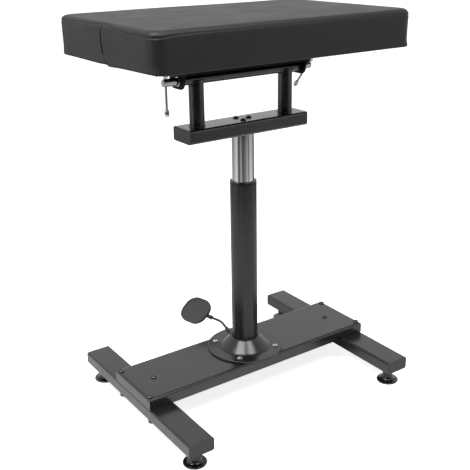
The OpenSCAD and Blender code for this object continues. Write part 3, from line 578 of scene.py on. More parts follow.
class Finishes:
    """All finishes of the stand, each built when it is first asked for."""

    POWDER = Finish("Powder coat", "powder_coat", (0.0048, 0.0048, 0.0050), (0.022, 0.022, 0.022),
                    roughness=0.25, rough_spread=0.05, specular=0.67, grain_scale=1400.0,
                    grain_cells=0.35, grain_depth=0.15, grain_size=0.00025, scuffs=0.10, edge_wear=0.2)
    COLUMN = replace(POWDER, name="Column powder coat", colour=(0.0046, 0.0046, 0.0048), specular=0.42)
    SATIN = replace(POWDER, name="Satin powder coat", colour=(0.0068, 0.0068, 0.0070), roughness=0.22,
                    specular=0.74, grain_depth=0.12)
    # Darker, duller coat of the tilt bracket: painted shade, standing for the shadow under the rest
    BRACKET_SHADE = replace(POWDER, name="Bracket coat with painted shade", colour=(0.0035, 0.0035, 0.0036),
                    worn_colour=(0.015, 0.015, 0.015), roughness=0.5, rough_spread=0.08, specular=0.1,
                    edge_wear=0.0)
    ENAMEL = Finish("Gloss enamel", "gloss_black", (0.005, 0.005, 0.0053), (0.02, 0.02, 0.02),
                    roughness=0.28, rough_spread=0.04, coat=0.15, coat_roughness=0.2, grain_scale=500.0,
                    grain_cells=0.1, grain_depth=0.05, grain_size=0.0002, scuffs=0.08)
    BLACK_STEEL = Finish("Blackened steel", "black_steel", (0.010, 0.010, 0.0105), (0.07, 0.07, 0.07),
                         roughness=0.3, grain_scale=2500.0, grain_depth=0.15, scuffs=0.2,
                         edge_wear=0.3)
    ZINC = Finish("Zinc plating", "zinc_steel", (0.62, 0.62, 0.63), (0.5, 0.49, 0.47), roughness=0.28,
                  metallic=1.0, grain_scale=1800.0, grain_cells=0.2, grain_depth=0.1,
                  tone_spread=0.06, scuffs=0.3)
    CHROME = Finish("Polished chrome", "chrome", (0.66, 0.66, 0.67), (0.5, 0.5, 0.5), roughness=0.05,
                    rough_spread=0.02, metallic=1.0, grain_scale=300.0, grain_cells=0.0,
                    grain_depth=0.008, tone_spread=0.01, scuffs=0.05)
    NICKEL = Finish("Bright nickel", "chrome", (0.36, 0.355, 0.345), (0.2, 0.2, 0.19), roughness=0.14,
                    metallic=1.0, grain_scale=900.0, grain_cells=0.1, grain_depth=0.05,
                    tone_spread=0.05, scuffs=0.25)
    SATIN_NICKEL = replace(NICKEL, name="Satin nickel", colour=(0.30, 0.295, 0.285), roughness=0.34,
                           grain_depth=0.02, scuffs=0.15)
    BRASS = Finish("Turned brass", "brass", (0.72, 0.53, 0.24), (0.5, 0.36, 0.17), roughness=0.3,
                   metallic=1.0, grain_scale=1500.0, grain_depth=0.1, scuffs=0.4)
    PLASTIC = Finish("Matte moulding", "black_plastic", (0.014, 0.014, 0.0143), (0.04, 0.04, 0.04),
                     roughness=0.45, grain_scale=2200.0, grain_cells=0.8, grain_depth=0.2,
                     grain_size=0.0002, scuffs=0.2)
    GLOSS_PLASTIC = Finish("Gloss moulding", "gloss_plastic", (0.008, 0.008, 0.008), (0.05, 0.05, 0.05),
                           roughness=0.15, rough_spread=0.06, grain_scale=400.0, grain_depth=0.04,
                           scuffs=0.2, scuff_size=60.0)
    RUBBER = Finish("Pedal rubber", "pedal_rubber", (0.035, 0.035, 0.036), (0.07, 0.07, 0.068),
                    roughness=0.6, grain_scale=1100.0, grain_cells=0.8, grain_depth=0.35,
                    grain_size=0.0004, scuffs=0.4)
    LEATHER = Finish("Black leather", "leather_cover", (0.0062, 0.0060, 0.0059), (0.02, 0.02, 0.02),
                     roughness=0.53, rough_spread=0.06, specular=0.33, grain_scale=620.0,
                     grain_cells=0.75, grain_depth=0.16, grain_size=0.0004, scuffs=0.08, scuff_size=12.0)
    # Near-black finish for the faces in the closing seam's gap: painted shade, standing for the slit's shadow
    GAP_SHADE = Finish("Painted gap shade", "leather_cover", (0.0016, 0.0016, 0.0016), (0.003, 0.003, 0.003),
                    roughness=0.9, specular=0.02, grain_scale=2400.0, grain_cells=0.2, grain_depth=0.3)
    PLY = PlyFinish("Stained plywood", "plywood", (0.030, 0.025, 0.020), (0.012, 0.010, 0.008),
                    roughness=0.6, grain_scale=500.0, grain_depth=0.2, scuffs=0.1)
    STEM = ThreadedFinish("Threaded stem", "zinc_steel", (0.58, 0.58, 0.59), (0.45, 0.44, 0.42),
                          roughness=0.3, metallic=1.0, grain_depth=0.9, grain_size=0.0006, pitch=0.0015)
    BOLT = ThreadedFinish("Threaded bolt", "black_steel", (0.085, 0.085, 0.087), (0.16, 0.16, 0.155),
                          roughness=0.26, metallic=1.0, grain_depth=0.8, grain_size=0.0005, pitch=0.00125)

    def __init__(self) -> None:
        """Starts with no material made."""
        self.made: dict[str, bpy.types.Material] = {}

    def of(self, finish: Finish) -> bpy.types.Material:
        """Gives a finish's material, made once.

        Args:
            finish: the finish.

        Returns:
            Its material.
        """
        if finish.name not in self.made:
            self.made[finish.name] = finish.build()
        return self.made[finish.name]

    def on_node(self, finish: Finish, *nodes: str) -> None:
        """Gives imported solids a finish.

        Args:
            finish: the finish.
            nodes: names of the solids.
        """
        for name in nodes:
            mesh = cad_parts[name].data
            mesh.materials.clear()
            mesh.materials.append(self.of(finish))
            LOG.info("%s: %s", name, finish.name)

    def on_piece(self, finish: Finish, piece: bpy.types.Object, body: Body) -> bpy.types.Object:
        """Gives a new piece its finish and the body that it rides on.

        Args:
            finish: the finish.
            piece: the piece.
            body: what it rides on.

        Returns:
            The same piece.
        """
        piece.data.materials.clear()
        piece.data.materials.append(self.of(finish))
        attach(piece, body.value)
        LOG.info("%s: %s, rides on %s", piece.name, finish.name, body.value)
        return piece


@dataclass
class Rest:
    """The stuffed rest: foam in a sewn cover, stapled under its board, on the tilt bracket."""

    finishes: Finishes
    # How far the cover stands past the solid, and its shift in X
    proud: tuple[float, float] = (0.0020, 0.0014)
    shifted: float = -0.0007
    # The cover's shape
    edge_height: float = 0.0777
    crown: float = 0.0006
    sag: float = 0.0014
    taper: float = 0.0016
    lean: float = 0.0003
    corner: float = 0.028
    least_corner: float = 0.12
    roll_in: float = 0.011
    roll_down: float = 0.0118
    bottom_roll: float = 0.0035
    centre_share: float = 0.985
    # The board's place in the cover, and the hem under it
    board_inset: float = 0.0156
    board_height: float = 0.0154
    hem_width: float = 0.028
    hem_thickness: float = 0.0011
    # Points round the outline, with the end seam's stretch of the left side
    arc_share: float = 0.16
    arc_points: int = 14
    long_points: int = 76
    right_points: int = 50
    left_points: tuple[int, int, int] = (22, 68, 20)
    left_fine: tuple[float, float] = (0.468, 0.575)
    # The stuffing, and how it is laid under the cover
    start_smaller: float = 0.0004
    voxel: float = 0.005
    cloth_pressure: float = 4.0
    cloth_mass: float = 0.3
    cloth_stiffness: float = 25.0
    cloth_frames: int = 20
    swell_share: float = 0.035
    swell_cap: float = 0.004
    even_rounds: int = 30
    # The staples
    staple_gap: float = 0.024
    staple_half: float = 0.005
    staple_wire: float = 0.00038
    staple_rise: float = 0.0009
    staple_inset: float = 0.012
    staple_clear: float = 0.03
    # How far in X the left end's own forms reach
    end_reach: float = 0.014
    # The sewing's sizes, in millimetres
    seam_dip: float = 1.2
    seam_width: float = 2.1
    seam_draw: float = 0.85
    seam_swell: float = 0.35
    swell_over: float = 5.5
    swell_width: float = 3.5
    pucker: float = 0.13
    pucker_length: float = 7.5
    pucker_start: float = 2.2
    pucker_reach: float = 8.0
    crease: float = 2.1
    crease_width: float = 2.2
    fold: float = 0.7
    fold_width: float = 3.0
    gather: float = 0.45
    gather_length: float = 6.5
    gather_reach: float = 9.0
    corner_lump: float = 1.5
    lump_width: float = 7.0
    lump_over: float = 3.0
    lump_reach: float = 6.0
    wave: float = 0.28
    low_wave: float = 0.22
    top_wave: float = 0.25
    gap_depth: float = 7.0
    lip: float = 1.4
    lip_reach: float = 34.0
    # How far the painted shade in the closing seam's gap reaches across it and into the end, in millimetres
    gap_shade_reach: tuple[float, float] = (0.1, 0.7)
    gap_shade_depth: float = 9.0
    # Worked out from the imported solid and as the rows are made
    lo: Vector = field(init=False)
    hi: Vector = field(init=False)
    half: np.ndarray = field(init=False)
    middle: np.ndarray = field(init=False)
    first_side: int = field(init=False)
    first_crown: int = field(init=False)
    seam_row: int = field(init=False)

    # Places round the outline with the top seam's drop under the top edge, in millimetres
    SEAM = np.array([
        [0.0, 11.5], [0.08, 12.0], [0.16, 11.0], [0.3, 9.0], [0.58, 8.0], [0.85, 9.0], [1.0, 11.0],
        [1.08, 11.5], [1.15, 10.1], [1.373, 6.1], [1.553, 4.6], [1.593, 3.0], [1.632, 3.4], [1.706, 8.4],
        [1.884, 12.8], [2.03, 12.7], [2.08, 13.2], [2.14, 12.4], [2.184, 9.9], [2.241, 9.0], [2.33, 9.0],
        [2.55, 8.0], [2.75, 8.5], [2.95, 9.5], [3.0, 12.0], [3.08, 12.8], [3.16, 12.0], [3.3, 9.0],
        [3.58, 7.0], [3.85, 9.0], [4.0, 11.5]])
    # Height and Y of the closing seam on the left end, in millimetres
    END_SEAM = np.array([[784.0, -21.0], [790.1, -16.9], [798.9, -9.1], [809.9, -2.8], [823.8, -0.4],
                         [837.4, 1.4], [847.9, 1.6], [857.5, -3.8], [865.5, -12.1], [873.0, -20.0]])
    # Height and width of the closing seam's gap, in millimetres
    END_GAP = np.array([[785.0, 6.4], [800.0, 6.2], [830.0, 5.8], [852.0, 4.6], [862.0, 2.6], [868.0, 1.0]])
    # Y and rise of the cover's lower edge at the left end, in millimetres
    END_HANG = np.array([[-190, 2.5], [-20, -0.9], [-16, 0], [0, 0], [20, -0.9], [190, -1.3]])

    def __post_init__(self) -> None:
        """Reads the cushion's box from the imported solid."""
        self.lo, self.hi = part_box("pad_cushion")
        self.half = np.array([(self.hi.x - self.lo.x) / 2, (self.hi.y - self.lo.y) / 2]) + self.proud
        self.middle = np.array([(self.hi.x + self.lo.x) / 2 + self.shifted, (self.hi.y + self.lo.y) / 2,
                                self.lo.z])

    def columns(self) -> np.ndarray:
        """Places round the outline, closer together at the corners and the end seam.

        Each whole number is a corner: its arc takes the first share, the straight run the rest.

        Returns:
            Places from zero to four.
        """
        arc = np.linspace(0, self.arc_share, self.arc_points, endpoint=False)
        long = np.linspace(0, 1, self.long_points, endpoint=False)
        right = np.linspace(0, 1, self.right_points, endpoint=False)
        ends = (0, *self.left_fine, 1)
        left = np.concatenate([np.linspace(a, b, count, endpoint=False)
                               for a, b, count in zip(ends, ends[1:], self.left_points)])
        runs = [self.arc_share + (1 - self.arc_share) * run for run in (long, left, long, right)]
        return np.concatenate([np.concatenate([arc, run]) + i for i, run in enumerate(runs)])

    def outline(self, inset: np.ndarray, columns: np.ndarray) -> np.ndarray:
        """The outline seen from above, drawn in by an inset at each point.

        A rectangle with quarter circles at its corners, whose radius is the corner's radius less
        half the inset. A column's point lies on the arc, at angle (quarter + share) * 90 degrees,
        or between the arc's end and the next arc's start.

        Args:
            inset: rows by columns of insets.
            columns: places round the outline, from zero to four.

        Returns:
            Rows by columns of X and Y about the rest's middle.
        """
        quarter = np.floor(columns).astype(int) % 4
        share = columns - np.floor(columns)
        arc = np.clip(share / self.arc_share, 0, 1)
        along = np.clip((share - self.arc_share) / (1 - self.arc_share), 0, 1)
        sx, sy = np.array([1, -1, -1, 1])[quarter], np.array([1, 1, -1, -1])[quarter]
        nx, ny = np.roll([1, -1, -1, 1], -1)[quarter], np.roll([1, 1, -1, -1], -1)[quarter]
        l, w = self.half[0] - inset, self.half[1] - inset
        r = np.minimum(np.maximum(self.corner - inset / 2, self.corner * self.least_corner), np.minimum(l, w))
        angle, last = (quarter + arc) * np.pi / 2, (quarter + 1) * np.pi / 2
        ax, ay = sx * (l - r) + r * np.cos(angle), sy * (w - r) + r * np.sin(angle)
        bx, by = nx * (l - r) + r * np.cos(last), ny * (w - r) + r * np.sin(last)
        return np.stack([ax + (bx - ax) * along, ay + (by - ay) * along], -1)

    def profile(self, z: np.ndarray) -> np.ndarray:
        """The side's inset at a height.

        Under the top roll the side leans in evenly, a little at the top and more at the bottom.
        In the roll it follows a quarter ellipse, roll_in * (1 - cos a) with sin a the share of the
        roll's height.

        Args:
            z: heights over the rest's bottom.

        Returns:
            The insets.
        """
        up = np.clip((z - (self.edge_height - self.roll_down)) / self.roll_down, 0, 1)
        low = np.clip(1 - z / self.bottom_roll, 0, 1)
        return (self.lean * z / self.edge_height + self.taper * (1 - z / self.edge_height)
                + self.roll_in * (1 - np.sqrt(1 - up ** 2))
                + self.bottom_roll * (1 - np.sqrt(1 - low ** 2)))

    def rows(self, columns: np.ndarray, closed_bottom: bool) -> tuple[np.ndarray, np.ndarray]:
        """Insets and heights of all rows, from the underside out, up and in over the top.

        Args:
            columns: places round the outline.
            closed_bottom: leaves out the board's pocket and the hem, and closes the underside.

        Returns:
            Rows by columns of insets, and of heights over the rest's bottom.
        """
        n = len(columns)
        seam = self.edge_height - np.interp(columns, self.SEAM[:, 0], self.SEAM[:, 1]) * MM
        inner, roof = self.board_inset + self.hem_width, self.hem_thickness + self.board_height
        deep, foot = self.half[1] * self.centre_share, self.bottom_roll + self.taper
        if closed_bottom:
            under = [(i, 0.0) for i in np.linspace(deep, foot, 30)]
        else:
            under = [(i, roof) for i in np.linspace(deep, self.board_inset, 8)]
            under += [(self.board_inset, h) for h in (roof * 0.5, self.hem_thickness)]
            under += [(i, self.hem_thickness) for i in np.linspace(self.board_inset, inner, 5)[1:]]
            under += [(inner, self.hem_thickness * 0.5)]
            under += [(i, 0.0) for i in np.linspace(inner, foot, 10)]
        under = np.array(under)
        bend = np.radians([18, 36, 54, 72, 90])
        roll_z = self.bottom_roll * (1 - np.cos(bend))
        roll_in = self.taper + self.bottom_roll * (1 - np.sin(bend))
        share = np.concatenate([np.linspace(0, 0.84, 20)[1:], np.linspace(0.86, 1, 14)])[:, None]
        side_z = self.bottom_roll + share * (seam - self.bottom_roll)
        start = np.arcsin(np.clip(1 - (self.edge_height - seam) / self.roll_down, 0, 1))
        turn = start + (np.pi / 2 - start) * (np.linspace(0, 1, 17)[1:, None] ** 1.15)
        top_z = self.edge_height - self.roll_down * (1 - np.sin(turn))
        crown_in = self.roll_in + (deep - self.roll_in) * np.linspace(0, 1, 32)[1:, None] ** 1.1
        ones = np.ones((1, n))
        z = np.concatenate([under[:, 1:] * ones, roll_z[:, None] * ones, side_z, top_z,
                            np.full((len(crown_in), n), self.edge_height)])
        inset = np.concatenate([under[:, :1] * ones, roll_in[:, None] * ones, self.profile(side_z),
                                self.profile(top_z), (crown_in + self.lean) * ones])
        self.first_side, self.first_crown = len(under), len(z) - len(crown_in)
        self.seam_row = len(under) + len(roll_z) + len(side_z) - 1
        return inset, z

    def shell(self, name: str, closed_bottom: bool, smaller: float = 0.0) -> bpy.types.Object:
        """Builds the cover, or the plain block that is stuffed.

        The height over the top edge is crown * ((1 - x^2) (1 - y^2)) ^ 0.8, with x and y from
        the middle to the edges.

        Args:
            name: the piece's name.
            closed_bottom: leaves out the board's pocket.
            smaller: how far each surface is drawn in.

        Returns:
            The object.
        """
        columns = self.columns()
        inset, z = self.rows(columns, closed_bottom)
        xy = self.outline(inset + smaller, columns)
        reach = np.clip(1 - (xy / (self.half - self.roll_in)) ** 2, 0, 1)
        dome = (reach[..., 0] * reach[..., 1]) ** 0.8
        z = z + np.where(np.arange(len(z))[:, None] >= self.first_crown, self.crown * dome, 0)
        z = np.where(np.arange(len(z))[:, None] > self.first_side + 4, z - smaller, z)
        points = np.concatenate([xy, z[..., None]], -1).reshape(-1, 3) + self.middle
        rows, cols = inset.shape
        faces = grid_faces(rows, cols, True).tolist()
        faces += [list(range(cols))[::-1], list(range((rows - 1) * cols, rows * cols))]
        return make_object(name, points, faces)

    def swell(self, block: bpy.types.Object) -> bpy.types.Object:
        """Stuffs the block: a cloth skin under pressure, of whose swelling a small share is kept.

        Args:
            block: the plain block.

        Returns:
            The stuffed skin, with one subdivision.
        """
        scene = bpy.context.scene
        remesh = block.modifiers.new("even", "REMESH")
        remesh.mode, remesh.voxel_size = "VOXEL", self.voxel
        start = bpy.data.meshes.new_from_object(block.evaluated_get(bpy.context.evaluated_depsgraph_get()))
        block.modifiers.clear()
        block.data = start
        cloth = block.modifiers.new("skin", "CLOTH")
        settings = cloth.settings
        settings.use_pressure, settings.uniform_pressure_force = True, self.cloth_pressure
        settings.effector_weights.gravity = 0.0
        settings.mass, settings.quality = self.cloth_mass, 6
        settings.tension_stiffness = settings.compression_stiffness = self.cloth_stiffness
        settings.shear_stiffness, settings.bending_stiffness = 10.0, 2.0
        cloth.point_cache.frame_start, cloth.point_cache.frame_end = 1, self.cloth_frames
        for number in range(1, self.cloth_frames + 1):
            scene.frame_set(number)
        stuffed = bpy.data.meshes.new_from_object(block.evaluated_get(bpy.context.evaluated_depsgraph_get()))
        before, after = point_array(start), point_array(stuffed)
        moved = (after - before) * self.swell_share
        length = np.linalg.norm(moved, axis=1, keepdims=True)
        after = before + moved * np.minimum(1, self.swell_cap / np.maximum(length, 1e-9))
        set_points(stuffed, after)
        LOG.info("stuffing: moves %.1f mm at most before the cap", length.max() * 1000)
        block.modifiers.clear()
        block.data = stuffed
        block.modifiers.new("finer", "SUBSURF").levels = 1
        block.modifiers["finer"].render_levels = 1
        scene.frame_set(1)
        return block

    def settle(self, cover: bpy.types.Object) -> None:
        """Lays the cover's outer rows on the stuffed skin, and leaves hem and pocket where they are.

        The move of each point is then evened out: again and again it is the mean of its own and
        its four neighbours' on the grid, and it fades to nothing at the hem.

        Args:
            cover: the cover.
        """
        block = self.swell(self.shell("stuffing", True, self.start_smaller))
        inset, _ = self.rows(self.columns(), False)
        rows, cols = inset.shape
        group = cover.vertex_groups.new(name="outer")
        row = np.repeat(np.arange(rows), cols)
        group.add(np.flatnonzero(row >= self.first_side + 4).tolist(), 1.0, "REPLACE")
        wrap = cover.modifiers.new("lay", "SHRINKWRAP")
        wrap.target, wrap.wrap_method, wrap.vertex_group = block, "NEAREST_SURFACEPOINT", "outer"
        laid = bpy.data.meshes.new_from_object(cover.evaluated_get(bpy.context.evaluated_depsgraph_get()))
        cover.modifiers.clear()
        start = point_array(cover.data).reshape(rows, cols, 3)
        move = point_array(laid).reshape(rows, cols, 3) - start
        fade = np.clip((np.arange(rows) - self.first_side - 3) / 6, 0, 1)[:, None, None]
        for _ in range(self.even_rounds):
            padded = np.concatenate([move[:1], move, move[-1:]])
            move = (move + padded[2:] + padded[:-2] + np.roll(move, 1, 1) + np.roll(move, -1, 1)) / 5
        set_points(cover.data, (start + move * fade).reshape(-1, 3))
        cover.vertex_groups.clear()
        bpy.data.meshes.remove(laid)
        bpy.data.objects.remove(block)

    def seams(self, points: np.ndarray, over: np.ndarray, columns: np.ndarray) -> np.ndarray:
        """The top seam's move along the normal, in millimetres.

        A seam is a dip -d exp(-(s / w)^2) over the distance s from it, with a low swell above it.
        A pucker is a cosine along the seam that fades away from it.

        Args:
            points: rows by columns of the cover's points.
            over: distance of each point over the seam, along the cover, in millimetres.
            columns: places round the outline.

        Returns:
            Rows by columns of moves.
        """
        ring = points[self.seam_row]
        round_it = np.concatenate([[0], np.cumsum(np.linalg.norm(np.diff(ring, axis=0), axis=1))]) / MM
        firm = np.interp(columns, [0, 1.9, 2.1, 2.3, 3.0, 3.16, 4], [1, 1, 0.8, 0.25, 0.25, 1, 1])
        width = self.seam_width - self.seam_draw * firm
        seam = firm * (-self.seam_dip * np.exp(-(over / width) ** 2)
                       + self.seam_swell * np.exp(-((over - self.swell_over) / self.swell_width) ** 2))
        along = np.cos(round_it * 2 * np.pi / self.pucker_length + 0.8 * np.sin(round_it / 23))
        away = np.exp(-(over / self.pucker_reach) ** 2) * (1 - np.exp(-(over / self.pucker_start) ** 2))
        return seam + self.pucker * along * away

    def corner_folds(self, over: np.ndarray, low: np.ndarray, columns: np.ndarray) -> np.ndarray:
        """The corners' move along the normal, in millimetres.

        A fold is a crease on a corner's diagonal with a swell beside it, and fades up and down
        from the seam. Under it the cover is gathered in small waves round a lump at its lower edge.

        Args:
            over: distance of each point over the seam, along the cover, in millimetres.
            low: height over the rest's bottom, in millimetres.
            columns: places round the outline.

        Returns:
            Rows by columns of moves.
        """
        share = columns - np.floor(columns)
        across = (share / self.arc_share - 0.5) * self.corner / MM * np.pi / 2
        near = share < self.arc_share * 1.4
        crease = (-self.crease * np.exp(-((across - 1.5 + over * 0.12) / self.crease_width) ** 2)
                  + self.fold * np.exp(-((across + 4.5 + over * 0.1) / self.fold_width) ** 2))
        fade = np.exp(-np.clip(-over, 0, None) / 9) * np.exp(-np.clip(over, 0, None) / 7)
        gather = self.gather * np.cos(across * 2 * np.pi / self.gather_length) \
            * np.exp(-(low / self.gather_reach) ** 2)
        lump = self.corner_lump * np.exp(-((across + 1) / self.lump_width) ** 2) \
            * np.exp(-((low - self.lump_over) / self.lump_reach) ** 2)
        return np.where(near, crease * fade + gather + lump, 0)

    def waves(self, points: np.ndarray, low: np.ndarray) -> np.ndarray:
        """The cover's slight waves, in millimetres: products of sines, broader on the top.

        Args:
            points: rows by columns of the cover's points.
            low: height over the rest's bottom, in millimetres.

        Returns:
            Rows by columns of moves.
        """
        x, y, z = np.moveaxis(points, -1, 0)
        side = self.wave * np.sin(x * 21 + 1.3 * np.sin(y * 17)) * np.sin(low / 77 * np.pi) \
            + self.low_wave * np.sin(y * 33 + 0.7) * np.sin(low / 38 * np.pi)
        top = np.exp(-((self.hi.z - z) / (6 * MM)) ** 2)
        return side * (1 - top) + self.top_wave * top * np.sin(x * 14 + 0.4) * np.sin(y * 18 + 1.1)

    def closing_seam(self, points: np.ndarray) -> np.ndarray:
        """The closing seam's move along the normal, in millimetres.

        The open gap is a dip with an eighth power of the distance from its middle, and the lip
        before it stands proud and fades to the front.

        Args:
            points: rows by columns of the cover's points.

        Returns:
            Rows by columns of moves.
        """
        y, z = points[..., 1] / MM, points[..., 2] / MM
        off = y - np.interp(z, self.END_SEAM[:, 0], self.END_SEAM[:, 1])
        gap = np.interp(z, self.END_GAP[:, 0], self.END_GAP[:, 1])
        lip = np.where(off < 0.2, self.lip * np.exp(-(np.clip(off, None, 0) / self.lip_reach) ** 2), 0)
        return lip - self.gap_depth * np.exp(-((off - gap / 2) / (gap / 2 + 0.2)) ** 8)

    def sew(self, cover: bpy.types.Object) -> None:
        """Presses the seams in and adds their puckers, the corner folds and the cover's slight waves.

        Each of these moves is along the surface's normal. Then the lower edge of the left end rises
        to the front and hangs a little beside the closing seam, and the top sinks towards the right
        back corner, by the product of two S-curves in X and Y.

        Args:
            cover: the cover.
        """
        columns = self.columns()
        inset, _ = self.rows(columns, False)
        rows, cols = inset.shape
        points = point_array(cover.data).reshape(rows, cols, 3)
        normals = np.empty(len(cover.data.vertices) * 3, np.float32)
        cover.data.vertex_normals.foreach_get("vector", normals)
        normals = normals.reshape(rows, cols, 3)
        step = np.linalg.norm(np.diff(points, axis=0), axis=2)
        run = np.concatenate([np.zeros((1, cols)), np.cumsum(step, 0)])
        over = (run - run[self.seam_row]) / MM
        low = (points[..., 2] - self.lo.z) / MM
        x, y = points[..., 0], points[..., 1]
        row = np.arange(rows)[:, None]
        outer = (row >= self.first_side).astype(float)
        end = np.exp(-(np.clip(x - self.lo.x, 0, None) / self.end_reach) ** 2) \
            * (np.abs(normals[..., 1]) < 0.6)
        move = self.seams(points, over, columns) + self.corner_folds(over, low, columns) \
            + self.waves(points, low) + self.closing_seam(points) * end
        hang = np.interp(y / MM, self.END_HANG[:, 0], self.END_HANG[:, 1]) * np.exp(-(low / 12) ** 2)
        sag = (1 + np.tanh((x - 0.03) / 0.12)) * (1 + np.tanh((y - 0.05) / 0.12)) / 4
        points = points + normals * (move * outer * MM)[..., None]
        points[..., 2] += hang * MM * end * (row > self.first_side - 4)
        points[..., 2] -= self.sag * sag * outer * np.clip(low * MM / self.edge_height, 0, 1)
        set_points(cover.data, points.reshape(-1, 3))

    def paint_gap_shade(self, cover: bpy.types.Object) -> None:
        """Paints the faces inside the closing seam's gap near black, as painted shade for the shadow deep in
        the slit.

        Args:
            cover: the cover.
        """
        count = len(cover.data.polygons)
        centres = np.empty(count * 3, np.float32)
        cover.data.polygons.foreach_get("center", centres)
        x, y, z = (centres.reshape(-1, 3) / MM).T
        off = y - np.interp(z, self.END_SEAM[:, 0], self.END_SEAM[:, 1])
        start, past = self.gap_shade_reach
        inside = (off > start) & (off < np.interp(z, self.END_GAP[:, 0], self.END_GAP[:, 1]) + past)
        inside &= (x < self.lo.x / MM + self.gap_shade_depth) & (z < self.END_GAP[-1, 0])
        inside &= z > self.lo.z / MM + 0.5
        cover.data.materials.append(self.finishes.of(Finishes.GAP_SHADE))
        cover.data.polygons.foreach_set("material_index", inside.astype(np.int32))
        cover.data.update()

    def build_staples(self) -> bpy.types.Object:
        """Builds the staples that hold the hem, each a flat wire bridge along the board's edge.

        One bridge is a bent path with a round section, copied by a turn and a shift to even
        places along the four sides.

        Returns:
            The staples as one piece.
        """
        half, foot, rise = self.staple_half, self.staple_half - 0.3 * MM, self.staple_rise
        path = np.array([[-half, 0, rise], [-foot, 0, -0.2 * MM], [foot, 0, -0.2 * MM], [half, 0, rise]])
        ring, faces = tube_along(path, self.staple_wire, np.array([0.0, 1.0, 0.0]), 6)
        reach = self.half - self.board_inset - self.staple_inset
        run = reach - self.staple_clear
        nx, ny = (int(2 * length / self.staple_gap) for length in run)
        xs, ys = np.linspace(-1, 1, nx) * run[0], np.linspace(-1, 1, ny) * run[1]
        places = np.concatenate([
            np.stack([xs, np.full(nx, -reach[1])], 1), np.stack([xs, np.full(nx, reach[1])], 1),
            np.stack([np.full(ny, -reach[0]), ys], 1), np.stack([np.full(ny, reach[0]), ys], 1)])
        order = np.arange(len(places))
        turn = np.where(order < 2 * nx, 0, np.pi / 2) + 0.12 * np.sin(order * 2.4)
        c, s = np.cos(turn)[:, None], np.sin(turn)[:, None]
        x = ring[None, :, 0] * c - ring[None, :, 1] * s + places[:, :1]
        y = ring[None, :, 0] * s + ring[None, :, 1] * c + places[:, 1:]
        z = np.broadcast_to(ring[None, :, 2], x.shape)
        points = np.stack([x, y, z], -1).reshape(-1, 3) + self.middle
        every = [[i + len(ring) * n for i in face] for n in range(len(places)) for face in faces]
        return make_object("hem_staples", points, every)

    def build(self) -> None:
        """Builds and dresses the rest."""
        cover = self.shell("rest_cover", False)
        self.settle(cover)
        self.sew(cover)
        self.finishes.on_piece(Finishes.LEATHER, outward(cover), Body.PAD)
        self.paint_gap_shade(cover)
        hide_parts("pad_cushion")
        self.finishes.on_piece(Finishes.ZINC, outward(self.build_staples()), Body.PAD)
        self.finishes.on_node(Finishes.PLY, "pad_board")
        self.finishes.on_node(Finishes.ZINC, "bracket_screws", "board_tee_nuts")
        # The tilt bracket's darkened coat is painted shade for the shadow under the rest
        self.finishes.on_node(Finishes.BRACKET_SHADE, "tilt_bracket")


@dataclass
class Base:
    """The folded plate, the foot tubes with their levelling feet, and the column's flange."""

    finishes: Finishes

    def build(self) -> None:
        """Dresses the base."""
        f = self.finishes
        f.on_node(Finishes.POWDER, "base_plate", "left_foot_tube", "right_foot_tube")
        f.on_node(Finishes.PLASTIC, "foot_tube_caps")
        f.on_node(Finishes.ZINC, "foot_inserts", "flange_screws", "flange_nuts")
        f.on_node(Finishes.BLACK_STEEL, "plate_nuts")
        f.on_node(Finishes.BOLT, "plate_bolts")
        f.on_node(Finishes.ENAMEL, "column_flange")
        for corner in ("front_left", "front_right", "back_left", "back_right"):
            f.on_node(Finishes.GLOSS_PLASTIC, corner + "_foot")
            f.on_node(Finishes.STEM, corner + "_stem")


@dataclass
class Column:
    """The telescoping column with its gas spring and its release."""

    finishes: Finishes
    collar_height: float = 0.0088
    collar_round: float = 0.0009
    collar_gap: float = 0.0004
    collar_sides: int = 128

    def build_collar(self) -> bpy.types.Object:
        """Builds the collar that closes the column's top over the guide bush's lip.

        A closed profile of radius and height is turned round the column's axis: out along the
        column's top, up its wall, over a rounded edge, in to the chrome tube, down and round
        the lip.

        Returns:
            The collar.
        """
        tube, bush, chrome = (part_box(node) for node in ("outer_column", "guide_bush", "inner_column"))
        outer, lip, inner = ((hi.x - lo.x) / 2 for lo, hi in (tube, bush, chrome))
        lip, inner, base = lip + self.collar_gap / 2, inner + self.collar_gap, tube[1].z
        over = bush[1].z - base + self.collar_gap / 2
        a, edge = np.linspace(0, np.pi / 2, 7), self.collar_round
        up = self.collar_height - edge
        radius = np.concatenate([[lip, outer, outer], outer - edge + edge * np.cos(a),
                                 inner + edge - edge * np.sin(a), [inner, lip]])
        height = np.concatenate([[0, 0, self.collar_gap], up + edge * np.sin(a),
                                 up + edge * np.cos(a), [over, over]])
        turn = np.linspace(0, 2 * np.pi, self.collar_sides, endpoint=False)
        faces = grid_faces(len(radius), len(turn), True, True)
        return make_object("column_collar", turned(radius, height + base, turn), faces)

    def build(self) -> None:
        """Dresses the column."""
        f = self.finishes
        f.on_piece(Finishes.COLUMN, outward(self.build_collar()), Body.BASE)
        f.on_node(Finishes.COLUMN, "outer_column")
        f.on_node(Finishes.PLASTIC, "guide_bush", "glide_ring")
        f.on_node(Finishes.ZINC, "spring_seat", "pivot_pin", "rod_clip", "release_pin", "column_head")
        f.on_node(Finishes.BRASS, "thrust_washer")
        f.on_node(Finishes.CHROME, "gas_spring_rod", "inner_column")
        f.on_node(Finishes.BLACK_STEEL, "gas_spring_cylinder")


@dataclass
class Pedal:
    """The lever and the rubber-covered pedal that let the column go."""

    finishes: Finishes

    def build(self) -> None:
        """Dresses the pedal."""
        f = self.finishes
        f.on_node(Finishes.ZINC, "release_rocker")
        f.on_node(Finishes.BLACK_STEEL, "pedal_lever", "pedal_plate")
        f.on_node(Finishes.PLASTIC, "lever_ferrule", "pedal_clip")
        f.on_node(Finishes.RUBBER, "pedal_pad")


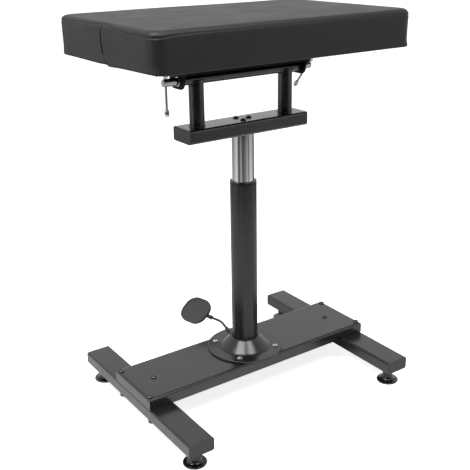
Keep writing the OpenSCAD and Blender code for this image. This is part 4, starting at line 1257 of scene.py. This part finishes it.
@dataclass
class HeadFrame:
    """The crossbar, its posts and the tilt tube, with the weld beads between them."""

    finishes: Finishes
    tilt_radius: float = 0.010
    bead: float = 0.0019
    upper_share: float = 0.8
    upper_reach: float = 1.45

    def weld_sizes(self, turn: np.ndarray) -> np.ndarray:
        """The bead's radius round the joint, scaled in even steps as a weld's puddles are."""
        return self.bead * (1 + 0.13 * np.abs(np.sin(turn * 17)) + 0.05 * np.sin(turn * 3.1))

    def build_welds(self, side: Side) -> bpy.types.Object:
        """Builds a post's beads: one round its foot and two where it meets the tilt tube.

        The foot's bead is a circle of the post's radius. An upper bead lies on both tubes: with
        t round the tilt tube, y = r sin t, z = axis - r cos t and x = post +- sqrt(R^2 - y^2).

        Args:
            side: the post's side.

        Returns:
            The beads as one piece.
        """
        lo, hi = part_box(side.value + "_post")
        centre, radius = (lo.x + hi.x) / 2, (hi.x - lo.x) / 2
        turn = np.linspace(0, 2 * np.pi, 96, endpoint=False)
        foot = np.stack([centre + radius * np.cos(turn), radius * np.sin(turn),
                         np.full_like(turn, lo.z)], 1)
        parts = [tube_along(foot, self.weld_sizes(turn), np.array([0.0, 0.0, 1.0]), 10, True)]
        t = np.linspace(-self.upper_reach, self.upper_reach, 48)
        y, z = self.tilt_radius * np.sin(t), hi.z - self.tilt_radius * np.cos(t)
        out = np.sqrt(radius ** 2 - y ** 2)
        for way in (-1, 1):
            path = np.stack([centre + way * out, y, z], 1)
            sizes = self.weld_sizes(t) * self.upper_share
            parts.append(tube_along(path, sizes, np.array([1.0, 0.0, 0.0]), 10))
        points, faces = joined(parts)
        return make_object(side.value + "_post_welds", points, faces)

    def build(self) -> None:
        """Dresses the head frame."""
        f = self.finishes
        f.on_node(Finishes.POWDER, "left_post", "right_post", "tilt_tube")
        f.on_node(Finishes.SATIN, "crossbar")
        f.on_node(Finishes.PLASTIC, "crossbar_caps")
        f.on_node(Finishes.BOLT, "crossbar_screws")
        f.on_node(Finishes.ZINC, "tilt_tube_inserts")
        for side in Side:
            f.on_piece(Finishes.POWDER, outward(self.build_welds(side)), Body.LIFT)


@dataclass
class ClampScrews:
    """The two clamp screws with their cross bars."""

    finishes: Finishes

    def build(self) -> None:
        """Dresses the clamp screws."""
        f = self.finishes
        for side in Side:
            f.on_node(Finishes.NICKEL, side.value + "_clamp_screw", side.value + "_cross_caps")
            f.on_node(Finishes.SATIN_NICKEL, side.value + "_cross_bar")
            f.on_node(Finishes.ZINC, side.value + "_clamp_washer")


@dataclass(frozen=True)
class Lamp:
    """A soft box: its place, the point that it faces, its size and its power."""

    name: str
    place: tuple[float, float, float]
    aim: tuple[float, float, float]
    size: tuple[float, float]
    power: float

    def build(self) -> bpy.types.Object:
        """Makes the lamp.

        Returns:
            The lamp, turned towards its point.
        """
        data = bpy.data.lights.new(self.name, "AREA")
        data.shape = "RECTANGLE"
        data.size, data.size_y = self.size
        data.energy = self.power
        lamp = bpy.data.objects.new(self.name, data)
        bpy.context.scene.collection.objects.link(lamp)
        place = Vector(self.place)
        lamp.location = place
        lamp.rotation_euler = (Vector(self.aim) - place).to_track_quat("-Z", "Y").to_euler()
        return lamp


@dataclass
class Studio:
    """The pale floor, the grey felt, the soft boxes and the camera."""

    place: tuple[float, float, float] = (-0.97198, -1.38144, 1.01914)
    yaw: float = -34.78
    pitch: float = 20.87
    roll: float = -0.76
    focal_px: float = 795.44
    middle_px: tuple[float, float] = (239.29, 234.88)
    frame_px: float = 470.0
    sensor: float = 36.0
    world: float = 0.24
    floor_half: float = 12.0
    floor_drop: float = 0.0004
    felt_near: float = 1.32
    felt_far: float = 4.2
    felt_height: float = 0.0012
    felt_span: tuple[float, float] = (-150, 150)
    felt_blend: tuple[float, float] = (2.3, 2.9)
    curtain_height: float = 2.6
    curtain_span: tuple[float, float] = (-44, 56)
    # Distances between which the floor's glow rises, and its levels up to and past them
    shown_glow: tuple[float, float, float, float] = (0.4, 1.7, 0.80, 1.0)
    mirrored_glow: tuple[float, float, float, float] = (0.6, 2.8, 0.03, 0.8)
    # Grey of the felt at angles from the camera's direction, in degrees, close by and far out
    FELT = ((-150, 0.9), (-125, 0.55), (-104, 0.5), (-92, 0.72), (-61, 0.74), (-52, 0.25), (-42, 0.05),
            (-32, 0.2), (-24, 0.42), (-14, 0.34), (-5, 0.1), (7, 0.14), (18, 0.2), (26, 0.28), (33, 0.38),
            (42, 0.5), (50, 0.56), (58, 0.22), (64, 0.3), (72, 0.92), (97, 0.97), (108, 0.85), (122, 0.08),
            (150, 0.6))
    FAR_FELT = ((-150, 0.9), (-60, 0.88), (-50, 0.4), (-38, 0.08), (-20, 0.04), (30, 0.04), (46, 0.1),
                (56, 0.45), (64, 0.85), (120, 0.8), (150, 0.9))
    lamps: tuple[Lamp, ...] = (
        Lamp("top_box", (0.15, 0.55, 2.9), (0, 0, 0.5), (2.4, 2.2), 18),
        Lamp("front_left_box", (-1.113, -0.407, 2.07), (0, 0, 0.1), (1.25, 0.9), 42),
        Lamp("front_right_box", (0.18, -1.171, 2.07), (0, 0, 0.1), (0.9, 0.9), 21),
        Lamp("left_box", (-2.7, 0.5, 1.1), (0, 0, 0.5), (1.2, 2.0), 9),
    )

    def build_camera(self) -> None:
        """Places the camera where the photograph was taken from."""
        yaw, pitch, roll = (math.radians(v) for v in (self.yaw, self.pitch, self.roll))
        ahead = Vector((-math.sin(yaw) * math.cos(pitch), math.cos(yaw) * math.cos(pitch), -math.sin(pitch)))
        right = Vector((math.cos(yaw), math.sin(yaw), 0))
        up = right.cross(ahead)
        turned = right * math.cos(roll) + up * math.sin(roll)
        lift = up * math.cos(roll) - right * math.sin(roll)
        data = bpy.data.cameras.new("camera")
        data.sensor_width = self.sensor
        data.lens = self.focal_px / self.frame_px * self.sensor
        half = self.frame_px / 2
        data.shift_x = (half - self.middle_px[0]) / self.frame_px
        data.shift_y = (self.middle_px[1] - half) / self.frame_px
        data.clip_start, data.clip_end = 0.05, 60
        camera = bpy.data.objects.new("camera", data)
        bpy.context.scene.collection.objects.link(camera)
        turn = Matrix((turned, lift, -ahead)).transposed().to_4x4()
        camera.matrix_world = Matrix.Translation(self.place) @ turn
        bpy.context.scene.camera = camera

    def seen(self, tree: Tree) -> bpy.types.NodeSocket:
        """Tells what is shown from what only lights the stand.

        Args:
            tree: the tree that the nodes go into.

        Returns:
            One for what the camera, a mirror or glass shows, and zero otherwise.
        """
        path = tree.node("ShaderNodeLightPath")
        shown = tree.math("MAXIMUM", path.outputs["Is Camera Ray"], path.outputs["Is Glossy Ray"])
        return tree.math("MAXIMUM", shown, path.outputs["Is Transmission Ray"])

    def build_floor(self) -> None:
        """Makes the floor, which shows white away from the stand and keeps the stand's shadow."""
        corners = np.array([[-1, -1, 0], [1, -1, 0], [1, 1, 0], [-1, 1, 0]]) * self.floor_half
        floor = make_object("floor", corners - [0, 0, self.floor_drop], [[0, 1, 2, 3]])
        material, tree, shader = new_material("White floor")
        shader.inputs["Base Color"].default_value = (0.92, 0.92, 0.92, 1)
        shader.inputs["Roughness"].default_value = 0.9
        shader.inputs["Specular IOR Level"].default_value = 0.1
        away = tree.node("ShaderNodeVectorMath", {0: tree.where()}, operation="LENGTH").outputs["Value"]
        camera = tree.node("ShaderNodeLightPath").outputs["Is Camera Ray"]
        shown = tree.math("MULTIPLY", camera, tree.ramp(away, *self.shown_glow))
        mirrored = tree.math("MULTIPLY", tree.math("SUBTRACT", self.seen(tree), camera),
                             tree.ramp(away, *self.mirrored_glow))
        glow = tree.math("ADD", shown, mirrored)
        tree.put(shader.inputs["Emission Color"], tree.mix(glow, (0, 0, 0, 1), (1, 1, 1, 1)))
        shader.inputs["Emission Strength"].default_value = 1.0
        floor.data.materials.append(material)

    def build_felt(self) -> None:
        """Lays a ring of grey felt on the floor round the stand, which the camera doesn't see.

        It sets what the chrome and the faces towards the camera mirror: dark before the camera,
        pale to the sides. The sheet is a ring sector (r cos a, r sin a), and its shade follows
        the angle from the camera's own direction, with one set of shades close by and one far out.
        A curtain of it, a part of a cylinder, hangs behind the camera.
        """
        towards = math.atan2(self.place[1], self.place[0])
        angle = towards + np.radians(np.linspace(*self.felt_span, 61))
        points = turned([self.felt_near, self.felt_far], [self.felt_height] * 2, angle)
        felt = make_object("grey_felt", points, grid_faces(2, len(angle), False))
        material, tree, shader = new_material("Grey felt")
        where = tree.where()
        c, d = math.cos(towards), math.sin(towards)
        ahead = tree.node("ShaderNodeVectorMath", {0: where, 1: (c, d, 0)}, operation="DOT_PRODUCT")
        aside = tree.node("ShaderNodeVectorMath", {0: where, 1: (-d, c, 0)}, operation="DOT_PRODUCT")
        turn = tree.math("ARCTAN2", aside.outputs["Value"], ahead.outputs["Value"])
        share = tree.math("MULTIPLY_ADD", turn, 0.5 / math.pi, 0.5)
        near, far = (tree.steps(share, [(0.5 + angle / 360, grey) for angle, grey in stops])
                     for stops in (self.FELT, self.FAR_FELT))
        away = tree.node("ShaderNodeVectorMath", {0: where}, operation="LENGTH").outputs["Value"]
        tree.put(shader.inputs["Base Color"], tree.mix(tree.ramp(away, *self.felt_blend), near, far))
        shader.inputs["Roughness"].default_value = 1.0
        shader.inputs["Specular IOR Level"].default_value = 0.0
        back = towards + np.radians(np.linspace(*self.curtain_span, 21))
        points = turned([self.felt_far] * 2, [0.0, self.curtain_height], back)
        curtain = make_object("grey_curtain", points, grid_faces(2, len(back), False))
        for piece in (felt, curtain):
            piece.data.materials.append(material)
            piece.visible_camera = piece.visible_shadow = False
        curtain.visible_diffuse = False

    def build_world(self) -> None:
        """Lights the world evenly, and shows it white, to mirrors with a darker ceiling."""
        world = bpy.data.worlds.new("studio")
        bpy.context.scene.world = world
        world.use_nodes = True
        tree = Tree(world.node_tree)
        world.node_tree.nodes.clear()
        up = tree.node("ShaderNodeSeparateXYZ", {0: tree.node("ShaderNodeTexCoord").outputs["Generated"]})
        ceiling = tree.ramp(up.outputs[2], 0.6, 0.82, 1.0, 0.35)
        camera = tree.node("ShaderNodeLightPath").outputs["Is Camera Ray"]
        white = tree.node("ShaderNodeBackground", {"Color": (1, 1, 1, 1),
                                                   "Strength": tree.math("MAXIMUM", camera, ceiling)})
        soft = tree.node("ShaderNodeBackground", {"Color": (1, 1, 1, 1), "Strength": self.world})
        mixed = tree.node("ShaderNodeMixShader",
                          {0: self.seen(tree), 1: soft.outputs[0], 2: white.outputs[0]})
        tree.node("ShaderNodeOutputWorld", {"Surface": mixed.outputs[0]})

    def build(self) -> None:
        """Builds the studio."""
        self.build_camera()
        self.build_floor()
        self.build_felt()
        self.build_world()
        for lamp in self.lamps:
            lamp.build()
        settings = bpy.context.scene.view_settings
        settings.view_transform = "Standard"
        LOG.info("studio: camera, floor, world and %d soft boxes", len(self.lamps))


def main() -> None:
    """Builds the studio and each sub-assembly in order."""
    logging.basicConfig(level=logging.INFO, format="%(name)s %(message)s")
    Studio().build()
    finishes = Finishes()
    for part in (Base, Column, Pedal, HeadFrame, ClampScrews, Rest):
        part(finishes).build()


if __name__ == "__main__":
    main()
